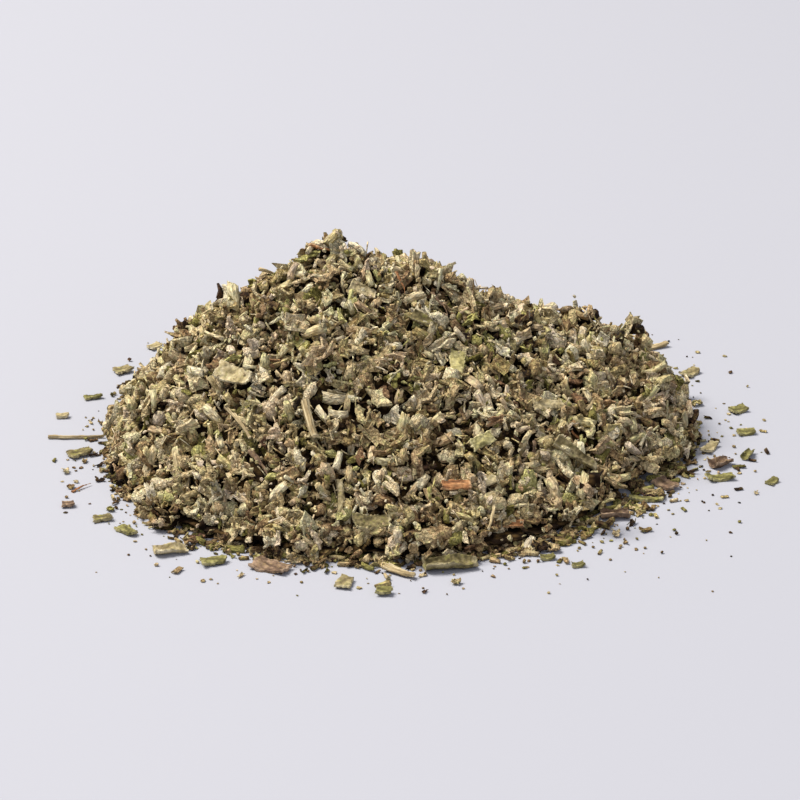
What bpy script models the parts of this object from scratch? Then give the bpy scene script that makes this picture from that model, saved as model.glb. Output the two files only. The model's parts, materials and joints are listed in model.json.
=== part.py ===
"""A poured heap of dried, cut sage, with larger cuttings lying on it and loose ones round its foot.

Metres, +Z up. The heap rests on z = 0, with the middle of its flat underside at the origin and
the viewer at -Y. Leaf crumbs stand out of a smaller heap-shaped core in one node, every larger
cutting on the heap is a node of its own in a pocket of the crumbs, and every loose cutting is a
node of its own on the surface.
"""

import math
import random
from dataclasses import dataclass

import bmesh
import bpy
from mathutils import Matrix, Vector, noise
from mathutils.bvhtree import BVHTree

MM = 0.001
SEED = 41

# The heap's footprint, measured from the middle of its underside
FOOT_CENTRE_X = 0.75 * MM
REACH_SIDE = 52.75 * MM
REACH_FRONT = 52.5 * MM
REACH_REAR = 50.0 * MM
ROUNDNESS_FRONT_LEFT = 2.4
ROUNDNESS_FRONT_RIGHT = 1.75
ROUNDNESS_REAR = 2.3
BAY_ANGLE = math.radians(-33.0)
BAY_WIDTH = math.radians(13.0)
BAY_DEPTH = 5.0 * MM
RIM_HEIGHT = 0.9 * MM
RIM_SLOPE = 3.5 * MM

# The ridge line from left to right: distance from the middle and height of the core, in mm
RIDGE_MM = (
    (-52.0, 0.0), (-48.0, 9.8), (-42.0, 17.6), (-36.0, 24.2), (-28.0, 29.6), (-20.0, 34.0),
    (-12.0, 36.5), (-4.0, 34.5), (5.0, 32.0), (11.0, 28.0), (17.0, 26.0), (24.0, 23.0),
    (33.0, 19.5), (41.0, 15.5), (48.0, 10.5), (53.5, 0.0),
)
SPINE_LEFT_Y = -10.0 * MM
SPINE_RIGHT_Y = 8.0 * MM
FLANK_POWER = 1.12

# Lumps and hollows of the poured surface
BROAD_WAVE, BROAD_HEIGHT = 19.0 * MM, 1.5 * MM
FINE_WAVE, FINE_HEIGHT = 7.0 * MM, 0.7 * MM
CORE_CELLS = 14
CORE_JITTER = 0.8 * MM

# Leaf crumbs, larger than life so that the fused heap can be covered with them
CRUMB_COUNT = 184
CRUMB_LENGTH = (6.2 * MM, 8.8 * MM)
CRUMB_RAISED = (0.3 * MM, 1.2 * MM)
CRUMB_TILT = math.radians(26.0)
CRUMB_REACH = 0.96
SUNK_NEAR_CUTTING = 1.0 * MM
RIM_CRUMB_COUNT = 56
RIM_CRUMB_LENGTH = (4.2 * MM, 6.2 * MM)
RIM_CRUMB_INSET = (-0.4 * MM, 1.4 * MM)
CRUMB_THICKNESS = 0.9 * MM
CRUMB_FLOOR_GAP = 0.25 * MM
GOLDEN_ANGLE = math.pi * (3.0 - math.sqrt(5.0))

# Larger cuttings
CLEARANCE = 0.36 * MM
BLADE_THICKNESS = 0.7 * MM
ROLL_WALL_SHARE = 0.6
SEAT_ON_CRUMBS = 1.7 * MM
SUNK_IN_CRUMBS = 0.5 * MM
LOOK_FROM = 8.0 * MM
FLAT_SPOT = 0.14 * MM

MATERIALS = {
    "grey_leaf": ("#85795B", 0.95),
    "pale_leaf": ("#B9AD8D", 0.95),
    "dark_leaf": ("#5C5439", 0.95),
    "olive_leaf": ("#6F7038", 0.9),
    "yellow_leaf": ("#A19A4C", 0.9),
    "straw_stem": ("#C4A878", 0.8),
    "orange_bark": ("#A5633A", 0.85),
    "brown_bark": ("#664632", 0.9),
}


@dataclass(frozen=True)
class Cutting:
    """One larger cutting: what it is, where its middle lies (mm) and which way it points."""

    name: str
    kind: str
    material: str
    x: float
    y: float
    length: float
    width: float
    heading: float
    lift: float = 0.0
    pitch: float = 0.0
    roll: float = 0.0


# Cuttings lying on the heap: lift is how far the middle may stand off the usual seat, in mm
ON_HEAP = (
    Cutting("pale_leaf_offcut", "leaf", "pale_leaf", -28.2, -20.8, 7.4, 4.2, -33, 1.0),
    Cutting("straw_stem_long", "stem", "straw_stem", -27.0, -27.8, 9.0, 1.1, -71, 0.7),
    Cutting("brown_stem_piece", "splinter", "brown_bark", -24.0, -34.9, 6.4, 1.6, -68, 0.2),
    Cutting("twig_at_top", "stem", "orange_bark", -14.2, -0.8, 4.6, 0.9, 4, 4.2, -18.0),
    Cutting("pale_chip_near_top", "leaf", "pale_leaf", -6.5, -7.5, 5.2, 3.0, -14, 0.6),
    Cutting("orange_splinter_near_top", "splinter", "orange_bark", -0.6, -5.4, 5.4, 1.1, -63, 0.6),
    Cutting("dark_leaf_roll", "roll", "dark_leaf", 3.6, -11.2, 5.6, 3.4, -24, 0.3),
    Cutting("brown_splinter_near_top", "splinter", "brown_bark", 6.6, -6.0, 5.8, 1.2, -52, 0.5),
    Cutting("ribbed_leaf_chip", "leaf", "yellow_leaf", 9.6, -16.6, 6.6, 3.2, -79, 0.6, 0.0, 18.0),
    Cutting("white_leaf_chip", "leaf", "pale_leaf", 25.0, -17.1, 6.6, 2.6, 22, 0.8),
    Cutting("orange_bark_chip", "leaf", "orange_bark", 9.3, -38.4, 5.6, 2.6, 1, 0.5),
    Cutting("orange_bark_chip_small", "leaf", "orange_bark", 19.2, -42.0, 4.0, 2.0, -4, 0.5),
    Cutting("straw_stem_upright", "stem", "straw_stem", 14.6, -43.2, 8.0, 1.0, -92, 0.6),
    Cutting("pale_cap_leaf", "leaf", "pale_leaf", 14.7, -36.6, 3.4, 2.6, 18, 0.9),
    Cutting("curved_leaf_rib", "rib", "pale_leaf", -11.0, -44.0, 11.0, 1.8, -97, 0.5),
    Cutting("thick_leaf_roll", "roll", "grey_leaf", 29.1, -26.6, 9.0, 4.2, -18, 0.9),
    Cutting("orange_splinter_right", "splinter", "orange_bark", 31.6, -20.4, 4.6, 1.0, -33, 0.8),
    Cutting("triangular_leaf_cutting", "leaf", "dark_leaf", -4.8, -47.0, 7.0, 4.0, 9, 0.9, 0.0, -20.0),
    Cutting("straw_stem_block", "stem", "straw_stem", -14.7, -31.4, 7.4, 1.9, -87, 0.6),
    Cutting("short_pale_roll", "roll", "pale_leaf", -10.8, -27.0, 4.0, 2.4, 1, 0.6),
    Cutting("yellow_green_leaf", "leaf", "yellow_leaf", 13.2, -30.4, 5.4, 2.6, 44, 0.6, 0.0, 15.0),
    Cutting("tan_stem_right", "splinter", "straw_stem", 33.4, -12.8, 6.6, 1.1, 72, 0.6),
    Cutting("dark_splinter_right", "splinter", "brown_bark", 22.4, -29.6, 6.2, 1.3, -83, 0.4),
)

# Cuttings lying loose on the surface round the heap, the last six behind it
ON_SURFACE = (
    Cutting("loose_straw_stick", "stem", "straw_stem", -58.6, 0.6, 10.4, 1.0, 2),
    Cutting("loose_leaf_rear_left", "leaf", "grey_leaf", -52.5, 31.8, 4.0, 3.2, 33),
    Cutting("loose_flake_left", "leaf", "olive_leaf", -57.0, 18.9, 4.0, 1.8, 15),
    Cutting("loose_chip_far_left", "leaf", "pale_leaf", -62.0, 10.0, 2.8, 2.0, 0),
    Cutting("loose_dark_leaf_left", "leaf", "dark_leaf", -57.2, -7.0, 5.0, 3.4, 33),
    Cutting("loose_orange_splinter_left", "splinter", "orange_bark", -55.6, -21.5, 4.8, 1.1, 46),
    Cutting("loose_brown_bit_left", "leaf", "brown_bark", -57.4, -28.8, 2.7, 2.4, 10),
    Cutting("loose_leaf_front_left", "leaf", "dark_leaf", -51.0, -34.4, 3.8, 2.6, 14),
    Cutting("loose_green_leaf_front_left", "leaf", "olive_leaf", -46.3, -39.4, 4.8, 2.6, -46),
    Cutting("loose_pale_roll_front", "roll", "pale_leaf", -38.4, -47.6, 6.2, 3.2, 12),
    Cutting("loose_green_leaf_front", "leaf", "olive_leaf", -31.0, -51.5, 4.8, 2.6, 16),
    Cutting("loose_brown_crumple", "leaf", "brown_bark", -21.4, -53.4, 7.0, 4.6, -30),
    Cutting("loose_grey_leaf_front", "leaf", "grey_leaf", -9.1, -59.4, 4.4, 3.0, 72),
    Cutting("loose_olive_leaf_front", "leaf", "olive_leaf", -2.6, -63.0, 3.2, 2.6, -8),
    Cutting("loose_straw_chip_front", "leaf", "straw_stem", 0.0, -55.6, 6.4, 2.2, -36),
    Cutting("loose_dark_roll_front", "roll", "dark_leaf", 8.4, -53.4, 9.4, 4.4, 9),
    Cutting("loose_olive_leaf_front_right", "leaf", "olive_leaf", 24.7, -49.8, 3.0, 2.2, 9),
    Cutting("loose_olive_bit_right", "leaf", "olive_leaf", 29.6, -52.6, 2.6, 2.0, 10),
    Cutting("loose_brown_curl", "roll", "brown_bark", 37.0, -33.6, 5.6, 3.6, 4),
    Cutting("loose_green_strip", "leaf", "olive_leaf", 42.6, -26.6, 6.4, 1.8, -6),
    Cutting("loose_brown_leaf_right", "leaf", "brown_bark", 46.6, -20.6, 5.0, 3.4, -50),
    Cutting("loose_pale_leaf_right", "leaf", "pale_leaf", 55.6, -4.6, 5.0, 2.6, 60),
    Cutting("loose_brown_curl_right", "roll", "brown_bark", 57.0, -11.6, 4.8, 3.4, 38),
    Cutting("loose_green_leaf_right", "leaf", "olive_leaf", 56.4, -17.6, 5.4, 2.6, 9),
    Cutting("loose_green_leaf_far_right", "leaf", "olive_leaf", 62.4, 12.8, 3.9, 3.0, 29),
    Cutting("loose_green_chip_far_right", "leaf", "olive_leaf", 62.9, 2.6, 3.9, 2.6, 7),
    Cutting("loose_striped_roll", "roll", "olive_leaf", 62.2, -7.6, 4.4, 2.8, 63),
    Cutting("loose_olive_bit_far_right", "leaf", "olive_leaf", 65.4, -19.0, 3.0, 2.2, 47),
    Cutting("loose_thin_flake_rear_right", "leaf", "straw_stem", 49.1, 43.8, 6.0, 1.8, 25),
    Cutting("loose_leaf_rear_right", "leaf", "grey_leaf", 55.0, 30.6, 4.6, 3.2, 47),
    Cutting("loose_leaf_behind", "leaf", "dark_leaf", -33.0, 51.6, 4.6, 3.0, 120),
    Cutting("loose_roll_behind", "roll", "grey_leaf", -6.4, 57.4, 5.4, 3.2, -18),
    Cutting("loose_olive_leaf_behind", "leaf", "olive_leaf", 19.0, 58.0, 4.0, 2.6, 75),
    Cutting("loose_splinter_behind", "splinter", "orange_bark", 33.2, 52.0, 5.2, 1.1, 140),
    Cutting("loose_pale_leaf_behind", "leaf", "pale_leaf", -47.4, 44.0, 3.4, 2.4, 48),
    Cutting("loose_brown_bit_behind", "leaf", "brown_bark", -20.0, 58.6, 3.0, 2.4, -40),
)

# Crumbs that break the skyline: x, y, how far the middle stands off the core, and size, in mm
SKYLINE_CRUMBS_MM = (
    (-11.8, -0.6, 1.4, 6.2), (-10.8, 0.4, 5.0, 5.4), (-14.4, 0.8, 3.2, 5.0), (-36.6, 4.0, 0.8, 5.0),
    (7.4, -1.4, 0.9, 5.4), (15.4, 0.0, 0.8, 5.4), (28.4, 1.6, 0.7, 5.4), (36.4, 4.0, 0.5, 5.0),
    (-23.0, -2.4, 0.8, 5.2), (-30.0, -3.0, 0.8, 5.0), (-15.8, -0.6, 3.0, 4.8),
)


def clear_scene():
    """Remove whatever the scene starts with."""
    for item in list(bpy.data.objects):
        bpy.data.objects.remove(item, do_unlink=True)


def make_collection(name):
    """Return a new collection linked to the scene."""
    collection = bpy.data.collections.new(name)
    bpy.context.scene.collection.children.link(collection)
    return collection


def linear(hex_colour):
    """Turn a written sRGB colour into the linear values that Blender shades with."""
    channels = [int(hex_colour[i:i + 2], 16) / 255.0 for i in (1, 3, 5)]
    return [c / 12.92 if c <= 0.04045 else ((c + 0.055) / 1.055) ** 2.4 for c in channels] + [1.0]


def make_materials():
    """Return the matt plant materials by name."""
    made = {}
    for name, (colour, roughness) in MATERIALS.items():
        material = bpy.data.materials.new(name)
        material.use_nodes = True
        shader = material.node_tree.nodes["Principled BSDF"]
        shader.inputs["Base Color"].default_value = linear(colour)
        shader.inputs["Roughness"].default_value = roughness
        shader.inputs["Metallic"].default_value = 0.0
        material.diffuse_color = linear(colour)
        made[name] = material
    return made


# The heap's form

def ridge_height(x):
    """Return the core's height on the ridge line at x, on a smooth curve through RIDGE_MM."""
    points = RIDGE_MM
    x_mm = min(max(x / MM, points[0][0]), points[-1][0])
    slopes = [(b[1] - a[1]) / (b[0] - a[0]) for a, b in zip(points, points[1:])]
    tangents = [slopes[0]]
    for left, right in zip(slopes, slopes[1:]):
        tangents.append(0.0 if left * right <= 0.0 else 2.0 * left * right / (left + right))
    tangents.append(slopes[-1])
    for i, (a, b) in enumerate(zip(points, points[1:])):
        if x_mm <= b[0]:
            width = b[0] - a[0]
            t = (x_mm - a[0]) / width
            height = (2 * t**3 - 3 * t**2 + 1) * a[1] + (3 * t**2 - 2 * t**3) * b[1]
            height += width * ((t**3 - 2 * t**2 + t) * tangents[i] + (t**3 - t**2) * tangents[i + 1])
            return max(height, 0.0) * MM
    return 0.0


def roundness(x, in_front):
    """Return how square the footprint's outline is at x, in front of the middle or behind it."""
    if not in_front:
        return ROUNDNESS_REAR
    return ROUNDNESS_FRONT_RIGHT if x > FOOT_CENTRE_X else ROUNDNESS_FRONT_LEFT


def rim_distance(angle):
    """Return the distance from the footprint's centre to its rim in one direction."""
    side, depth = math.cos(angle), math.sin(angle)
    reach = REACH_FRONT if depth < 0.0 else REACH_REAR
    power = roundness(FOOT_CENTRE_X + side, depth < 0.0)
    rim = (abs(side / REACH_SIDE) ** power + abs(depth / reach) ** power) ** (-1.0 / power)
    from_bay = math.remainder(angle - BAY_ANGLE, 2.0 * math.pi) / BAY_WIDTH
    return rim - BAY_DEPTH * math.exp(-from_bay * from_bay)


def half_depth(x, in_front):
    """Return the footprint's half depth at x, in front of the middle or behind it."""
    side = min(abs(x - FOOT_CENTRE_X) / REACH_SIDE, 1.0)
    power = roundness(x, in_front)
    reach = REACH_FRONT if in_front else REACH_REAR
    return reach * (1.0 - side**power) ** (1.0 / power)


def core_height(x, y):
    """Return the height of the core's surface over a point of the footprint."""
    left_end, right_end = RIDGE_MM[0][0] * MM, RIDGE_MM[-1][0] * MM
    across = (x - left_end) / (right_end - left_end)
    spine = SPINE_LEFT_Y + across * (SPINE_RIGHT_Y - SPINE_LEFT_Y)
    if y < spine:
        run = max(half_depth(x, True) + spine, 1e-6)
    else:
        run = max(half_depth(x, False) - spine, 1e-6)
    share = min(abs(y - spine) / run, 1.0)
    from_centre = Vector((x - FOOT_CENTRE_X, y))
    inside = rim_distance(math.atan2(y, x - FOOT_CENTRE_X)) - from_centre.length
    height = ridge_height(x) * (1.0 - share**FLANK_POWER)
    height *= min(max(inside / RIM_SLOPE, 0.0), 1.0)
    spot = Vector((x, y, 0.0))
    fade = min(height / (8.0 * MM), 1.0)
    height += fade * BROAD_HEIGHT * noise.noise(spot / BROAD_WAVE)
    height += fade * FINE_HEIGHT * noise.noise(spot / FINE_WAVE + Vector((7.0, 3.0, 1.0)))
    return max(height, RIM_HEIGHT)


def make_core(collection, rng):
    """Build the heap-shaped core: a grid rounded to the footprint, raised, and closed flat below."""
    bm = bmesh.new()
    bmesh.ops.create_grid(bm, x_segments=CORE_CELLS, y_segments=CORE_CELLS, size=1.0)
    for vert in bm.verts:
        u, v = vert.co.x, vert.co.y
        disc = Vector((u * math.sqrt(1.0 - v * v / 2.0), v * math.sqrt(1.0 - u * u / 2.0)))
        angle = math.atan2(disc.y, disc.x)
        distance = min(disc.length, 1.0) * rim_distance(angle)
        x = FOOT_CENTRE_X + distance * math.cos(angle)
        y = distance * math.sin(angle)
        rough = rng.uniform(-CORE_JITTER, CORE_JITTER) * (not vert.is_boundary)
        vert.co = Vector((x, y, core_height(x, y) + rough))
    rim = [edge for edge in bm.edges if edge.is_boundary]
    grown = bmesh.ops.extrude_edge_only(bm, edges=rim)["geom"]
    for vert in (item for item in grown if isinstance(item, bmesh.types.BMVert)):
        vert.co.z = 0.0
    bmesh.ops.holes_fill(bm, edges=[edge for edge in bm.edges if edge.is_boundary], sides=0)
    bmesh.ops.triangulate(bm, faces=bm.faces)
    bmesh.ops.recalc_face_normals(bm, faces=bm.faces)
    surface = BVHTree.FromBMesh(bm)
    return object_from(bm, "leaf_crumb_heap", collection), surface


def seat_on(surface, x, y):
    """Return the point and the outward normal of the core's surface above a point of its foot."""
    point, normal, _, _ = surface.ray_cast(Vector((x, y, 1.0)), Vector((0.0, 0.0, -1.0)))
    if point is None:
        return Vector((x, y, RIM_HEIGHT)), Vector((0.0, 0.0, 1.0))
    return point, normal


def object_from(bm, name, collection):
    """Turn a bmesh into a named object in a collection."""
    mesh = bpy.data.meshes.new(name)
    bm.to_mesh(mesh)
    bm.free()
    item = bpy.data.objects.new(name, mesh)
    collection.objects.link(item)
    return item


# Crumb shapes, each lying along X round its own middle

def lump_crumb(size, rng):
    """A curled leaf crumb: a short knobbly drum, narrower at one end."""
    bm = bmesh.new()
    bmesh.ops.create_cone(bm, cap_ends=True, segments=5, radius1=0.44 * size, radius2=0.27 * size,
                          depth=0.72 * size)
    stretch = Vector((rng.uniform(0.95, 1.25), rng.uniform(0.75, 0.95), rng.uniform(0.6, 0.85)))
    for vert in bm.verts:
        vert.co = vert.co * stretch * rng.uniform(0.8, 1.15)
    return bm


def flake_crumb(size, rng):
    """A flat leaf cutting with slanting ends, one of them narrower."""
    bm = bmesh.new()
    bmesh.ops.create_cube(bm, size=1.0)
    width = size * rng.uniform(0.5, 0.75)
    taper = rng.uniform(0.1, 0.5)
    skew = rng.uniform(-0.35, 0.35)
    for vert in bm.verts:
        u, v, w = vert.co
        vert.co.x = size * (u + 0.5 * skew * v)
        vert.co.y = width * v * (1.0 - taper * (u + 0.5))
        vert.co.z = CRUMB_THICKNESS * w
    return bm


def bent_crumb(size, rng):
    """A leaf cutting folded across its middle."""
    bm = flake_crumb(size, rng)
    cut = bm.verts[:] + bm.edges[:] + bm.faces[:]
    bmesh.ops.bisect_plane(bm, geom=cut, plane_co=(0.0, 0.0, 0.0), plane_no=(1.0, 0.0, 0.0))
    bend = size * rng.uniform(0.15, 0.3)
    for vert in bm.verts:
        vert.co.z += bend * (1.0 - 2.0 * abs(vert.co.x) / size)
    return bm


def roll_crumb(size, rng):
    """A leaf cutting rolled into a short tapered rod."""
    bm = bmesh.new()
    radius = size * rng.uniform(0.18, 0.24)
    turn = Matrix.Rotation(math.radians(90.0), 4, "Y")
    bmesh.ops.create_cone(bm, cap_ends=True, segments=4, radius1=radius,
                          radius2=radius * rng.uniform(0.6, 0.9), depth=size * 1.15, matrix=turn)
    return bm


def stick_crumb(size, rng):
    """A slim bit of stem."""
    bm = bmesh.new()
    radius = rng.uniform(0.5, 0.7) * MM
    turn = Matrix.Rotation(math.radians(90.0), 4, "Y")
    bmesh.ops.create_cone(bm, cap_ends=True, segments=4, radius1=radius, radius2=radius * 0.8,
                          depth=size * 1.5, matrix=turn)
    return bm


CRUMB_SHAPES = (lump_crumb, flake_crumb, bent_crumb, roll_crumb, stick_crumb)
CRUMB_SHARES = (0.42, 0.32, 0.14, 0.08, 0.04)


def stand(normal, heading, pitch=0.0, roll=0.0):
    """Return the turn that lays +Z on a normal and +X on a heading, then pitches and rolls."""
    along = Vector((math.cos(heading), math.sin(heading), 0.0))
    along = (along - normal * along.dot(normal)).normalized()
    side = normal.cross(along)
    frame = Matrix((along, side, normal)).transposed().to_4x4()
    return frame @ Matrix.Rotation(-pitch, 4, "Y") @ Matrix.Rotation(roll, 4, "X")


def lowest(bm):
    """Return the lowest height among a bmesh's points."""
    return min(vert.co.z for vert in bm.verts)


def nearest_cutting(x, y):
    """Return how far a point lies outside the nearest cutting on the heap."""
    gaps = []
    for cutting in ON_HEAP:
        turn = math.radians(cutting.heading)
        dx, dy = x - cutting.x * MM, y - cutting.y * MM
        along = abs(dx * math.cos(turn) + dy * math.sin(turn)) - 0.5 * cutting.length * MM
        across = abs(dy * math.cos(turn) - dx * math.sin(turn)) - 0.5 * cutting.width * MM
        gaps.append(math.hypot(max(along, 0.0), max(across, 0.0)))
    return min(gaps)


def scatter_crumbs(collection, surface, rng):
    """Lay crumbs evenly over the core, each with its root sunk in."""
    for i in range(CRUMB_COUNT):
        reach = math.sqrt((i + 0.5) / CRUMB_COUNT) * CRUMB_REACH
        angle = i * GOLDEN_ANGLE + rng.uniform(-0.05, 0.05)
        distance = reach * rim_distance(angle)
        x = FOOT_CENTRE_X + distance * math.cos(angle)
        y = distance * math.sin(angle)
        bm = rng.choices(CRUMB_SHAPES, CRUMB_SHARES)[0](rng.uniform(*CRUMB_LENGTH), rng)
        point, normal = seat_on(surface, x, y)
        turn = stand(normal, rng.uniform(0.0, 2.0 * math.pi), rng.gauss(0.0, CRUMB_TILT),
                     rng.gauss(0.0, CRUMB_TILT))
        raised = rng.uniform(*CRUMB_RAISED)
        if nearest_cutting(x, y) < SUNK_NEAR_CUTTING:
            raised -= SUNK_NEAR_CUTTING
        bm.transform(Matrix.Translation(point + normal * raised) @ turn)
        add_clear_of_floor(bm, f"crumb_{i:03d}", collection)


def rim_crumbs(collection, rng):
    """Lay a ragged ring of crumbs over the core's rim, some of them reaching past it."""
    for i in range(RIM_CRUMB_COUNT):
        angle = (i + rng.uniform(-0.35, 0.35)) * 2.0 * math.pi / RIM_CRUMB_COUNT
        distance = rim_distance(angle) - rng.uniform(*RIM_CRUMB_INSET)
        x = FOOT_CENTRE_X + distance * math.cos(angle)
        y = distance * math.sin(angle)
        bm = rng.choices(CRUMB_SHAPES, CRUMB_SHARES)[0](rng.uniform(*RIM_CRUMB_LENGTH), rng)
        up = Vector((0.35 * math.cos(angle), 0.35 * math.sin(angle), 1.0)).normalized()
        turn = stand(up, rng.uniform(0.0, 2.0 * math.pi), rng.gauss(0.0, 0.5 * CRUMB_TILT),
                     rng.gauss(0.0, 0.5 * CRUMB_TILT))
        bm.transform(Matrix.Translation((x, y, 0.0)) @ turn)
        add_clear_of_floor(bm, f"rim_crumb_{i:02d}", collection)


def add_clear_of_floor(bm, name, collection):
    """Add a crumb, lifted where it would reach the surface under the heap."""
    sunk = CRUMB_FLOOR_GAP - lowest(bm)
    if sunk > 0.0:
        bm.transform(Matrix.Translation((0.0, 0.0, sunk)))
    object_from(bm, name, collection)


def skyline_crumbs(collection, surface, rng):
    """Add the crumbs that break the heap's skyline."""
    for i, (x, y, stand_off, size) in enumerate(SKYLINE_CRUMBS_MM):
        bm = lump_crumb(size * MM, rng)
        turn = Matrix.Rotation(rng.uniform(0.0, math.pi), 4, "Z")
        point, _ = seat_on(surface, x * MM, y * MM)
        bm.transform(Matrix.Translation(point + Vector((0.0, 0.0, stand_off * MM))) @ turn)
        object_from(bm, f"skyline_{i:02d}", collection)


# Larger cuttings, each lying along X round its own middle

def blade(cutting, rng, curl=0.0):
    """Build a leaf cutting from a grid: ragged outline, arched along, cupped or rolled across."""
    bm = bmesh.new()
    across = 4 if curl else 2
    bmesh.ops.create_grid(bm, x_segments=4, y_segments=across, size=1.0)
    length, width = cutting.length * MM, cutting.width * MM
    lean = rng.uniform(-0.25, 0.25)
    arch = rng.uniform(0.05, 0.1) * length
    cup = rng.uniform(-0.08, 0.12) * width
    narrow = rng.uniform(0.15, 0.45)
    wall = BLADE_THICKNESS
    for vert in bm.verts:
        u, v = vert.co.x, vert.co.y
        ragged = 1.0 + rng.uniform(-0.12, 0.08) * (abs(u) == 1.0 or abs(v) == 1.0)
        half = 0.5 * width * (1.0 - narrow * (0.5 + 0.5 * u) ** 2) * ragged
        x = 0.5 * length * u * (1.0 + lean * v * 0.3)
        if curl:
            radius = 1.35 * half / curl
            wall = min(wall, ROLL_WALL_SHARE * radius)
            vert.co = Vector((x, radius * math.sin(curl * v), radius * (1.0 - math.cos(curl * v))))
        else:
            vert.co = Vector((x, half * v, arch * u * u + cup * v * v))
    faces = bm.faces[:]
    bmesh.ops.recalc_face_normals(bm, faces=faces)
    bmesh.ops.solidify(bm, geom=faces, thickness=wall)
    bmesh.ops.recalc_face_normals(bm, faces=bm.faces)
    return bm


def rod(cutting, rng, flatness=1.0, tip=0.8, bow=0.04):
    """Build a stem or a splinter: a slim rod of five or six sides, bowed a little along its run."""
    bm = bmesh.new()
    length, radius = cutting.length * MM, 0.5 * cutting.width * MM
    turn = Matrix.Rotation(math.radians(90.0), 4, "Y")
    bmesh.ops.create_cone(bm, cap_ends=True, segments=6, radius1=radius, radius2=radius,
                          depth=length, matrix=turn)
    for place in (-0.2, 0.25):
        cut = bm.verts[:] + bm.edges[:] + bm.faces[:]
        bmesh.ops.bisect_plane(bm, geom=cut, plane_co=(place * length, 0.0, 0.0),
                               plane_no=(1.0, 0.0, 0.0))
    sway = rng.choice((-1.0, 1.0)) * bow * length
    for vert in bm.verts:
        u = vert.co.x / length
        thin = 1.0 - (1.0 - tip) * (u + 0.5)
        vert.co.y = vert.co.y * thin + sway * (1.0 - 4.0 * u * u)
        vert.co.z *= thin * flatness
    return bm


def cutting_bmesh(cutting, rng):
    """Build one larger cutting by its kind."""
    if cutting.kind == "leaf":
        return blade(cutting, rng)
    if cutting.kind == "roll":
        return blade(cutting, rng, curl=math.radians(rng.uniform(75.0, 100.0)))
    if cutting.kind == "stem":
        return rod(cutting, rng)
    if cutting.kind == "rib":
        return rod(cutting, rng, flatness=0.75, tip=0.5, bow=0.1)
    return rod(cutting, rng, flatness=0.7, tip=0.35)


def height_over(point, normal, crumbs):
    """Return how far a point stands off the crumbs along a normal, less than nothing inside them."""
    hit, _, _, _ = crumbs.ray_cast(point + normal * LOOK_FROM, -normal)
    return LOOK_FROM if hit is None else (point - hit).dot(normal)


def lay_on_heap(cutting, bm, surface, crumbs):
    """Move a cutting to its seat on the heap, and lower it until the crumbs carry it."""
    point, normal = seat_on(surface, cutting.x * MM, cutting.y * MM)
    turn = stand(normal, math.radians(cutting.heading), math.radians(cutting.pitch),
                 math.radians(cutting.roll))
    seat = point + normal * (SEAT_ON_CRUMBS + cutting.lift * MM)
    bm.transform(Matrix.Translation(seat) @ turn)
    drop = min(height_over(vert.co, normal, crumbs) for vert in bm.verts) + SUNK_IN_CRUMBS
    bm.transform(Matrix.Translation(-normal * max(drop, 0.0)))


def lay_on_surface(cutting, bm):
    """Move a loose cutting onto z = 0, with a small flat spot where it rests."""
    bm.transform(Matrix.Rotation(math.radians(cutting.heading), 4, "Z"))
    bm.transform(Matrix.Translation((cutting.x * MM, cutting.y * MM, -lowest(bm))))
    for vert in bm.verts:
        if vert.co.z < FLAT_SPOT:
            vert.co.z = 0.0


def pocket(item, collection):
    """Add the convex body that keeps the crumbs clear of one cutting."""
    bm = bmesh.new()
    bm.from_mesh(item.data)
    hull = bmesh.ops.convex_hull(bm, input=bm.verts)
    spare = set(hull["geom_interior"]) | set(hull["geom_unused"])
    bmesh.ops.delete(bm, geom=[g for g in spare if isinstance(g, bmesh.types.BMVert)], context="VERTS")
    kept = {g for g in hull["geom"] if isinstance(g, bmesh.types.BMFace)}
    bmesh.ops.delete(bm, geom=[f for f in bm.faces if f not in kept], context="FACES")
    bmesh.ops.recalc_face_normals(bm, faces=bm.faces)
    bm.normal_update()
    moves = [(v, v.normal * CLEARANCE * min(v.calc_shell_factor(), 1.8)) for v in bm.verts]
    for vert, move in moves:
        vert.co += move
    object_from(bm, f"pocket_{item.name}", collection)


# Fusing

def boolean(item, operation, collection):
    """Join a collection's bodies to an object, or cut them from it, and remove the collection."""
    step = item.modifiers.new(operation.lower(), "BOOLEAN")
    step.operation = operation
    step.operand_type = "COLLECTION"
    step.collection = collection
    step.solver = "EXACT"
    graph = bpy.context.evaluated_depsgraph_get()
    fused = bpy.data.meshes.new_from_object(item.evaluated_get(graph))
    item.modifiers.clear()
    item.data = fused
    fused.name = item.name
    for tool in list(collection.objects):
        bpy.data.objects.remove(tool, do_unlink=True)
    bpy.data.collections.remove(collection)


def bodies_of(bm):
    """Return the separate bodies of a bmesh as lists of faces."""
    unseen = set(bm.faces)
    bodies = []
    while unseen:
        body, edge_of_body = [], [unseen.pop()]
        while edge_of_body:
            face = edge_of_body.pop()
            body.append(face)
            for edge in face.edges:
                for other in edge.link_faces:
                    if other in unseen:
                        unseen.remove(other)
                        edge_of_body.append(other)
        bodies.append(body)
    return bodies


def keep_main_body(item):
    """Drop loose scraps and fill sealed hollows by keeping only the outermost body."""
    bm = bmesh.new()
    bm.from_mesh(item.data)
    bodies = sorted(bodies_of(bm), key=len, reverse=True)
    spare = [face for body in bodies[1:] for face in body]
    bmesh.ops.delete(bm, geom=spare, context="FACES")
    bmesh.ops.triangulate(bm, faces=bm.faces)
    bm.to_mesh(item.data)
    bm.free()


def surface_of(item):
    """Return an object's surface for casting rays at."""
    bm = bmesh.new()
    bm.from_mesh(item.data)
    surface = BVHTree.FromBMesh(bm)
    bm.free()
    return surface


def dress(item, material):
    """Give an object its one material."""
    item.data.materials.clear()
    item.data.materials.append(material)


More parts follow.
